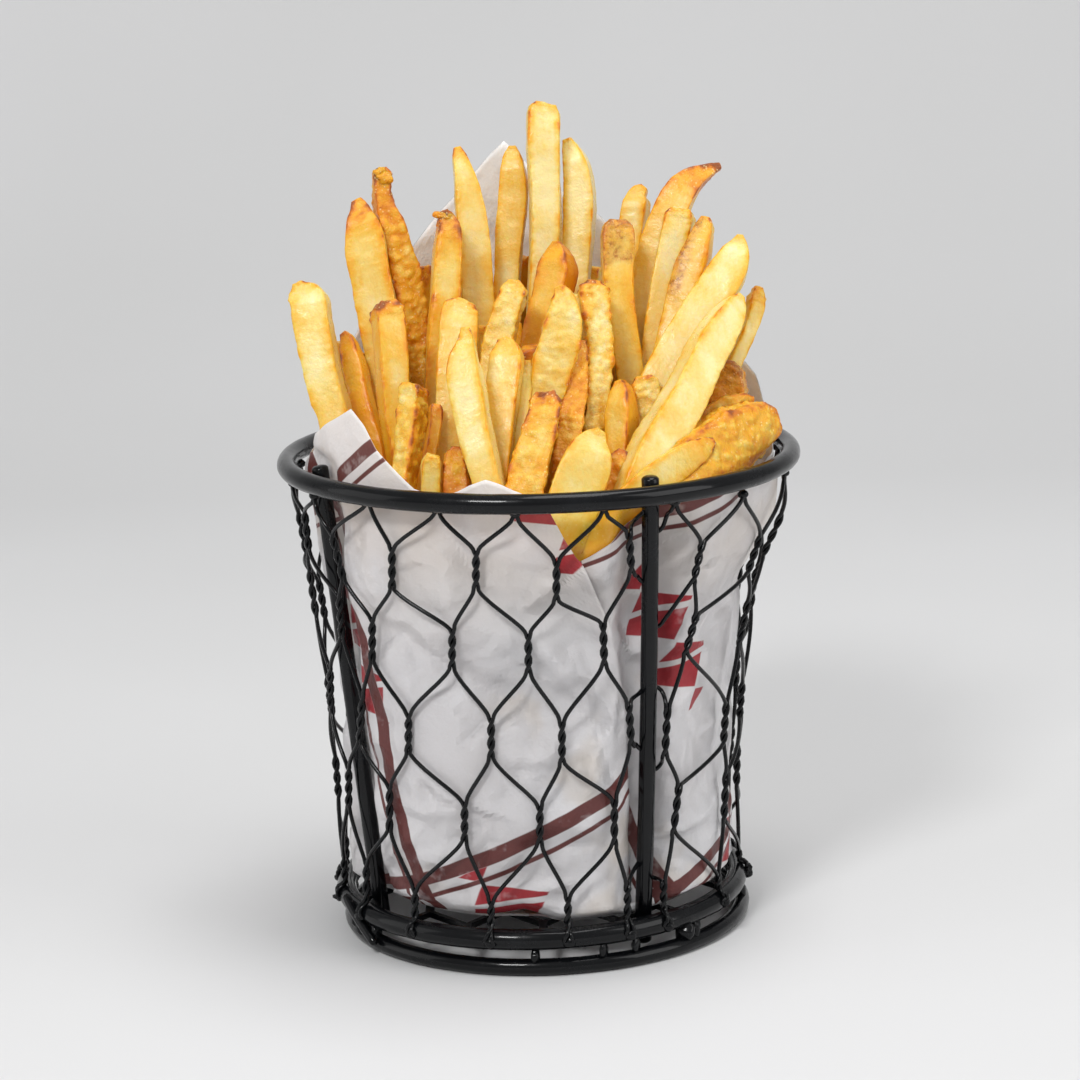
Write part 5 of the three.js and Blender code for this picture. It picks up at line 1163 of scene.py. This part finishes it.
# ------------------------------------------------------------------------------------------------ rings and rods
def make_basket():
    paint = metal_material("powder_coat")
    b = Build()

    def bumps(seed, size=0.05):
        def f(A, B):
            Q = np.stack([np.cos(rad(A)) * 16, np.sin(rad(A)) * 16, B * 0.8], -1)
            return size * noise(Q, 2.6, seed) + 0.6 * size * noise(Q, 1.1, seed + 1)
        return f

    torus(b, RIM_R, RIM_WIRE - 0.05, (0, 0, RIM_Z), RIM_LEAN, 260, 22, bumps(21))
    b.finish("rim", paint, "basket_metal", ("rim_ring",))
    b = Build()
    torus(b, UP_R, UP_WIRE - 0.06, (UP_X, 0, UP_Z), 0, 240, 20, bumps(31, 0.07))
    torus(b, LO_R, LO_WIRE - 0.05, (LO_X, 0, LO_WIRE), 0, 240, 18, bumps(41, 0.05))
    rng = np.random.default_rng(5)
    # drops of paint and short stubs of wire between the two base rings
    for az, w, h in [(-63, 2.3, 1.9), (42.5, 2.2, 1.8), (131, 2.0, 1.7), (-140, 2.0, 1.7), (16, 0.8, 1.5), (25.5, 0.9, 1.5), (-3, 0.9, 1.0), (-57, 1.4, 1.5),
                     (-68, 1.5, 1.4), (47, 1.3, 1.5), (84, 1.1, 1.5), (-101, 1.1, 1.5)]:
        x = (UP_X + LO_X) / 2
        c = np.array([x + 44.2 * math.sin(rad(az)), -44.2 * math.cos(rad(az)), 4.6])
        blob(b, c, (w, 1.5, h + 0.5), seed=int(az) + 200, amount=0.22)
    # a stray end of wire on the left that runs from one ring to the other
    P = cyl(np.linspace(-68, -54, 14), np.linspace(46.4, 45.6, 14), np.linspace(10.4, 3.0, 14))
    tube(b, P, 1.0, 10)
    b.finish("base_rings", paint, "basket_metal", ("base_ring_upper", "base_ring_lower", "ring_link_1", "ring_link_2", "ring_link_3", "ring_link_4"))
    b = Build()
    for i, rod in enumerate(RODS):
        z = np.linspace(ROD_BOTTOM + 0.3, ROD_TOP - 0.35, 60)
        P = np.array([rod_point(rod, v, 0.0) for v in z])
        G = P + 31 * i
        R = (ROD_WIRE - 0.05) * (1 + 0.018 * noise(G, 5.0, 3) + 0.012 * noise(G, 1.6, 4))
        tube(b, P, R, 20, cap=0.35)
        top = rod_point(rod, 104.2, 0.0, 1.7)
        blob(b, top, (1.3, 1.9, 1.6), axis=(0, 0, 1), seed=60 + i, amount=0.2)
        low = rod_point(rod, 7.9, 0.0, 1.5)
        blob(b, low, (1.9, 2.2, 1.7), axis=(0, 0, 1), seed=70 + i, amount=0.22)
    b.finish("uprights", paint, "basket_metal", ("upright_1", "upright_2", "upright_3", "upright_4"))
    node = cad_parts["floor_net"]
    node.data.materials.clear()
    node.data.materials.append(metal_material("coated_floor_netting", 0.9))


# ------------------------------------------------------------------------------------------------ paper
def paper_material():
    m = Nodes("printed_paper")
    u, v = m.attribute("pu"), m.attribute("pv")
    inside = m.attribute("inner")
    warp = m.math("MULTIPLY", m.math("SUBTRACT", m.noise(60, 2, 0.5), 0.5), 2.2)
    u = m.math("ADD", u, warp)

    def turned(angle, du=0.0, dv=0.0):
        c, s = math.cos(angle), math.sin(angle)
        a = m.math("ADD", m.math("MULTIPLY", u, c), m.math("MULTIPLY_ADD", v, s, du))
        b = m.math("ADD", m.math("MULTIPLY", u, -s), m.math("MULTIPLY_ADD", v, c, dv))
        return a, b

    def band(angle, period, wave, length, shift, width):
        """Wavy stripes that repeat across the sheet."""
        a, b = turned(angle, 0.0, shift)
        b = m.math("ADD", b, m.math("MULTIPLY", m.math("SINE", m.math("MULTIPLY", a, 2 * math.pi / length)), wave))
        b = m.math("WRAP", b, period / 2, -period / 2)
        return m.span(m.math("ABSOLUTE", b), width / 2 + 0.14, width / 2 - 0.14)

    def lozenges(angle, pu, pv, du, dv, size, slot):
        """Rows of diamonds cut by a slanting slot."""
        a, b = turned(angle, du, dv)
        a2 = m.math("WRAP", a, pu / 2, -pu / 2)
        b2 = m.math("WRAP", b, pv / 2, -pv / 2)
        d = m.math("ADD", m.math("MULTIPLY", m.math("ABSOLUTE", a2), 1 / size[0]), m.math("MULTIPLY", m.math("ABSOLUTE", b2), 1 / size[1]))
        shape = m.span(d, 1.03, 0.97)
        cut = m.span(m.math("ABSOLUTE", m.math("SUBTRACT", m.math("ADD", a2, m.math("MULTIPLY", b2, 0.35)), slot)), 0.55, 0.85)
        return m.math("MULTIPLY", shape, cut)

    wide = band(rad(68), 112.0, 4.0, 120.0, 26.0, 3.8)
    thin = band(rad(68), 112.0, 4.0, 120.0, 31.0, 1.1)
    brown = m.math("MAXIMUM", wide, thin)
    wide2 = band(rad(-24), 84.6, 3.0, 88.0, -36.0, 3.0)
    thin2 = band(rad(-24), 84.6, 3.0, 88.0, -32.0, 1.0)
    # the second pair comes and goes across the sheet
    gate = m.span(m.math("SINE", m.math("MULTIPLY", m.math("ADD", u, m.math("MULTIPLY", v, 0.35)), 2 * math.pi / 236.0)), -0.02, 0.02)
    brown = m.math("MAXIMUM", brown, m.math("MULTIPLY", m.math("MAXIMUM", wide2, thin2), gate))
    red = lozenges(rad(58), 13.5, 62.0, 3.0, 12.0, (6.4, 7.6), 1.2)
    some = m.span(m.math("SINE", m.math("MULTIPLY", m.math("ADD", m.math("MULTIPLY", u, 0.8), v), 2 * math.pi / 90.0)), -0.02, 0.02)
    red = m.math("MULTIPLY", red, some)
    red = m.math("MULTIPLY", red, m.math("SUBTRACT", 1.0, brown, clamp=True))
    ink = m.noise(900, 3, 0.6)
    wear = m.span(m.noise(160, 3, 0.6), 0.30, 0.42, 0.72, 1.0)
    shade = m.noise(22, 3, 0.6)
    base = m.ramp(shade, [(0.25, srgb(212, 207, 207)), (0.5, srgb(222, 218, 219)), (0.75, srgb(229, 227, 229))])
    # grease stains in patches, and in the upper band near the fries a painted warm glow standing in for the light the
    # fries throw through the sheet
    grease_and_warm_glow = m.math("MAXIMUM", m.span(m.noise(34, 3, 0.6), 0.56, 0.68), m.math("MULTIPLY", m.span(v, 66.0, 100.0), m.span(m.noise(26, 3, 0.6), 0.35, 0.6)))
    base = m.mix(m.math("MULTIPLY", grease_and_warm_glow, m.math("MULTIPLY_ADD", inside, -0.5, 0.55)), base, srgb(208, 193, 176))
    # painted light: the sheet is made whiter above the rim and on its inner face (and the liner's floor), standing in
    # for light shining through the paper
    base = m.mix(m.math("MULTIPLY", m.span(v, 101.0, 106.0), 0.75), base, srgb(240, 238, 240))
    base = m.mix(m.math("MULTIPLY", inside, 0.96), base, srgb(255, 255, 255))
    fibre = m.noise(1800, 2, 0.5)
    base = m.mix(m.span(fibre, 0.4, 0.75, 0.0, 0.10), base, srgb(205, 198, 194))
    brown_colour = m.mix(m.math("MULTIPLY", ink, 0.5), srgb(92, 44, 42), srgb(118, 62, 57))
    red_colour = m.mix(m.math("MULTIPLY", ink, 0.5), srgb(150, 34, 44), srgb(184, 58, 62))
    outside = m.math("SUBTRACT", 1.0, m.math("MULTIPLY", inside, 0.88))
    col = m.mix(m.math("MULTIPLY", m.math("MULTIPLY", brown, wear), outside), base, brown_colour)
    col = m.mix(m.math("MULTIPLY", m.math("MULTIPLY", red, wear), outside), col, red_colour)
    m.put(m.shader.inputs["Base Color"], col)
    m.put(m.shader.inputs["Roughness"], m.span(m.noise(120, 3, 0.6), 0.3, 0.7, 0.40, 0.56))
    m.shader.inputs["Specular IOR Level"].default_value = 0.45
    m.shader.inputs["Subsurface Weight"].default_value = 0.5
    m.shader.inputs["Subsurface Radius"].default_value = (1.0, 0.95, 0.9)
    m.shader.inputs["Subsurface Scale"].default_value = 0.0009
    n0 = m.bump(m.math("MULTIPLY", m.attribute("crease"), m.math("MULTIPLY_ADD", inside, 2.0, -1.0)), 1.0, 0.0013)
    n1 = m.bump(m.noise(240, 4, 0.62), 0.45, 0.0009, n0)
    m.put(m.shader.inputs["Normal"], m.bump(fibre, 0.12, 0.0001, n1))
    return m.material


# how far the paper's lower edge stands above the floor: azimuth, mm
LOW_EDGE = [(-80, 0.0), (-64, 2.2), (-40, 1.5), (-17, 1.6), (-11.5, 2.2), (-6, 3.0), (-1, 2.0), (5.5, 0.2), (12, 0.0)]


def edge_rise(az):
    a = (np.asarray(az, float) + 180) % 360 - 180
    return np.interp(a, [x for x, _ in LOW_EDGE], [y for _, y in LOW_EDGE])


def make_paper():
    overlap = 24.0
    nu, nv = 410, 100
    psi = np.linspace(0, 360 + overlap, nu)
    # heights: rows evenly spaced from the lower to the upper edge
    t = np.linspace(0, 1, nv)
    top_az = np.array([a for a, _ in TOP_LEFT])[::-1]
    top_z = np.array([z for _, z in TOP_LEFT])[::-1]
    az_top = 8.9 - psi
    zt = np.interp(az_top, top_az, top_z)
    # small waves along the edge
    E = np.stack([az_top * 0.9, np.zeros(nu), np.zeros(nu)], -1)
    zt = zt + 0.25 * noise(E, 6.0, 8) * smooth((psi - 4) / 6)
    edge_z = np.array([z for z, _ in EDGE])
    edge_a = np.array([a for _, a in EDGE])
    z0 = (10.2 + edge_rise(az_top + (edge_a[0] - 8.9) * (1 - smooth(psi / 46))))[:, None]
    Z = z0 + (zt[:, None] - z0) * t[None]
    lean = (np.interp(Z, edge_z, edge_a) - 8.9) * (1 - smooth(psi / 46))[:, None]
    A = az_top[:, None] + lean
    R = paper_radius(A, Z)
    layer = 1.10 * smooth((psi - 330) / 7)  # the inner end lies behind the outer one
    R = R - layer[:, None] - crumple(A, Z)
    um = psi[:, None] * rad(1) * 48 + 0 * Z
    # tucked under at the bottom
    tuck = smooth((Z - z0) / 3.2)
    R = np.minimum(R, 38.6 + (R - 38.6) * tuck)
    P = cyl(A, R, Z)
    # the side edge of the outer layer lifts a little
    lift = (1 - smooth(psi / 5.0))[:, None] * 0.35
    P = P + np.stack([np.sin(rad(A)), -np.cos(rad(A)), 0 * A], -1) * lift[..., None]
    # thickness, along the surface normal
    du = np.gradient(P, axis=0)
    dv = np.gradient(P, axis=1)
    N = unit(np.cross(dv, du))
    outw = np.stack([np.sin(rad(A)), -np.cos(rad(A)), 0 * A], -1)
    N = np.where((N * outw).sum(-1, keepdims=True) < 0, -N, N)
    thick = 0.16
    outer, inner = P, P - N * thick
    build = Build(("pu", "pv", "inner", "crease"))
    n = nu * nv
    pts = np.vstack([outer.reshape(-1, 3), inner.reshape(-1, 3)])
    i = np.arange(nu - 1)[:, None]
    j = np.arange(nv - 1)[None]
    a, b, cc, d = (i * nv + j), ((i + 1) * nv + j), ((i + 1) * nv + j + 1), (i * nv + j + 1)
    quads = np.stack([a, b, cc, d], -1).reshape(-1, 4)
    faces = [tuple(f[::-1]) for f in quads] + [tuple(f + n) for f in quads]
    for k in range(nu - 1):  # the bottom and top edges
        faces.append((k * nv, (k + 1) * nv, (k + 1) * nv + n, k * nv + n)[::-1][::-1])
        e = nv - 1
        faces.append(((k + 1) * nv + e, k * nv + e, k * nv + e + n, (k + 1) * nv + e + n))
    for k in range(nv - 1):  # the two side edges
        faces.append((k + 1, k, k + n, k + 1 + n))
        e = (nu - 1) * nv
        faces.append((e + k, e + k + 1, e + k + 1 + n, e + k + n))
    U = np.repeat(um[:, :1] * 1.0, nv, 1).reshape(-1)
    V = Z.reshape(-1)
    build.add(pts, faces, pu=np.concatenate([U, U]), pv=np.concatenate([V, V]), inner=np.concatenate([np.zeros(n), np.ones(n)]),
              crease=np.concatenate([crumple(A, Z).reshape(-1)] * 2))
    # the floor of the liner
    m = 120
    az = np.linspace(0, 360, m, endpoint=False)
    rings = []
    drawn = np.clip(edge_rise(az) / 2.0, 0, 1)  # the floor's edge is drawn in where the wall stands above it
    for r, z in [(38.2, 11.6), (38.4, 10.4), (37.6, 9.7), (34, 9.55), (26, 9.6), (16, 9.5), (6, 9.55)]:
        Q = cyl(az, r * (1 - 0.13 * drawn), 9.6 + (z - 9.6) * (1 - 0.7 * drawn))
        Q[:, 2] += 0.18 * noise(Q, 5.0, 61) * (1 if r < 37 else 0.3)
        rings.append(Q)
    up = [q + np.array([0, 0, 0.0]) for q in rings]
    low = np.vstack(up + [[UP_X, 0, 9.5]])
    over = low.copy()
    over[:, 2] += 0.2
    over[:m * 2, :2] = (over[:m * 2, :2] - [UP_X, 0]) * 0.995 + [UP_X, 0]
    k = len(rings)
    f1 = [tuple(f) for f in ring_faces(k, m)]
    c1 = k * m
    f1 += [((k - 1) * m + j, (k - 1) * m + (j + 1) % m, c1) for j in range(m)]
    f2 = [tuple(x + c1 + 1 for x in f)[::-1] for f in f1]
    side = [((j + 1) % m, j, j + c1 + 1, (j + 1) % m + c1 + 1) for j in range(m)]
    fl = np.vstack([low, over])
    faces = [f[::-1] for f in f1 + f2 + side]
    build.add(fl, faces, pu=fl[:, 0] * 1.0 + 70, pv=fl[:, 1] * 1.0, inner=0.6)
    ob = build.finish("paper", paper_material(), "paper", ("paper_liner",))
    return ob


# ------------------------------------------------------------------------------------------------ stage, light and camera
def make_stage():
    b = bpy.data.meshes.new("studio_floor")
    n = 40
    depth, height = 1.6, 1.5
    prof = [(-1.4, 0.0), (0.5, 0.0)] + [(0.5 + 0.5 * math.sin(x), 0.5 - 0.5 * math.cos(x)) for x in np.linspace(0.1, math.pi / 2, 14)] + [(1.0, 2.2)]
    pts, faces = [], []
    for y, z in prof:
        pts += [(-2.4, y, z), (2.4, y, z)]
    for i in range(len(prof) - 1):
        faces.append((2 * i, 2 * i + 1, 2 * i + 3, 2 * i + 2))
    b.from_pydata(pts, [], faces)
    b.shade_smooth()
    m = Nodes("studio_paper")
    m.put(m.shader.inputs["Base Color"], m.ramp(m.noise(3, 2, 0.5), [(0.3, (0.70, 0.70, 0.70, 1)), (0.7, (0.74, 0.74, 0.745, 1))]))
    m.shader.inputs["Roughness"].default_value = 0.75
    b.materials.append(m.material)
    floor = bpy.data.objects.new("studio_floor", b)
    bpy.context.scene.collection.objects.link(floor)


def area(name, place, aim, size, watts, colour=(1, 1, 1)):
    light = bpy.data.lights.new(name, "AREA")
    light.shape = "RECTANGLE"
    light.size, light.size_y = size
    light.energy = watts
    light.color = colour
    ob = bpy.data.objects.new(name, light)
    bpy.context.scene.collection.objects.link(ob)
    ob.location = place
    ob.rotation_euler = (Vector(aim) - Vector(place)).to_track_quat("-Z", "Y").to_euler()
    return ob


def make_light():
    world = bpy.data.worlds.new("studio")
    bpy.context.scene.world = world
    world.use_nodes = True
    bg = world.node_tree.nodes["Background"]
    bg.inputs["Color"].default_value = (1, 1, 1, 1)
    bg.inputs["Strength"].default_value = 0.41
    area("key", (-0.36, -0.80, 0.88), (0, 0, 0.10), (0.24, 0.20), 5.7)
    area("fill_right", (0.85, -0.45, 0.55), (0, 0, 0.12), (0.6, 0.8), 3.4)
    area("fill_left", (-0.95, -0.1, 0.35), (0, 0, 0.10), (0.6, 0.8), 1.3)
    area("top", (0.16, -0.02, 1.05), (0, 0.01, 0.13), (0.6, 0.4), 3.7)


def make_camera():
    cam = bpy.data.cameras.new("camera")
    cam.sensor_fit = "HORIZONTAL"
    cam.sensor_width = 36.0
    cam.lens = 36.0 * 3274.098431036406 / 1080
    cam.clip_start = 0.01
    ob = bpy.data.objects.new("camera", cam)
    bpy.context.scene.collection.objects.link(ob)
    right = Vector((0.9993171311215779, -0.009503324756724735, -0.03570655773814045))
    up = Vector((0.03690134737470656, 0.20732581231691757, 0.9775757249998904))
    back = -Vector((0.0018873285008637027, 0.9782257890516374, -0.2075349214600553))
    M = Matrix((right, up, back)).transposed().to_4x4()
    M.translation = Vector((-1.710680608472411, -704.4257692309005, 234.5944561262849)) * MM
    ob.matrix_world = M
    bpy.context.scene.camera = ob


make_camera()
make_stage()
make_light()
make_basket()
make_netting()
make_paper()
make_fries()
scene = bpy.context.scene
scene.view_settings.view_transform = "Standard"
scene.view_settings.look = "None"
bpy.context.view_layer.update()
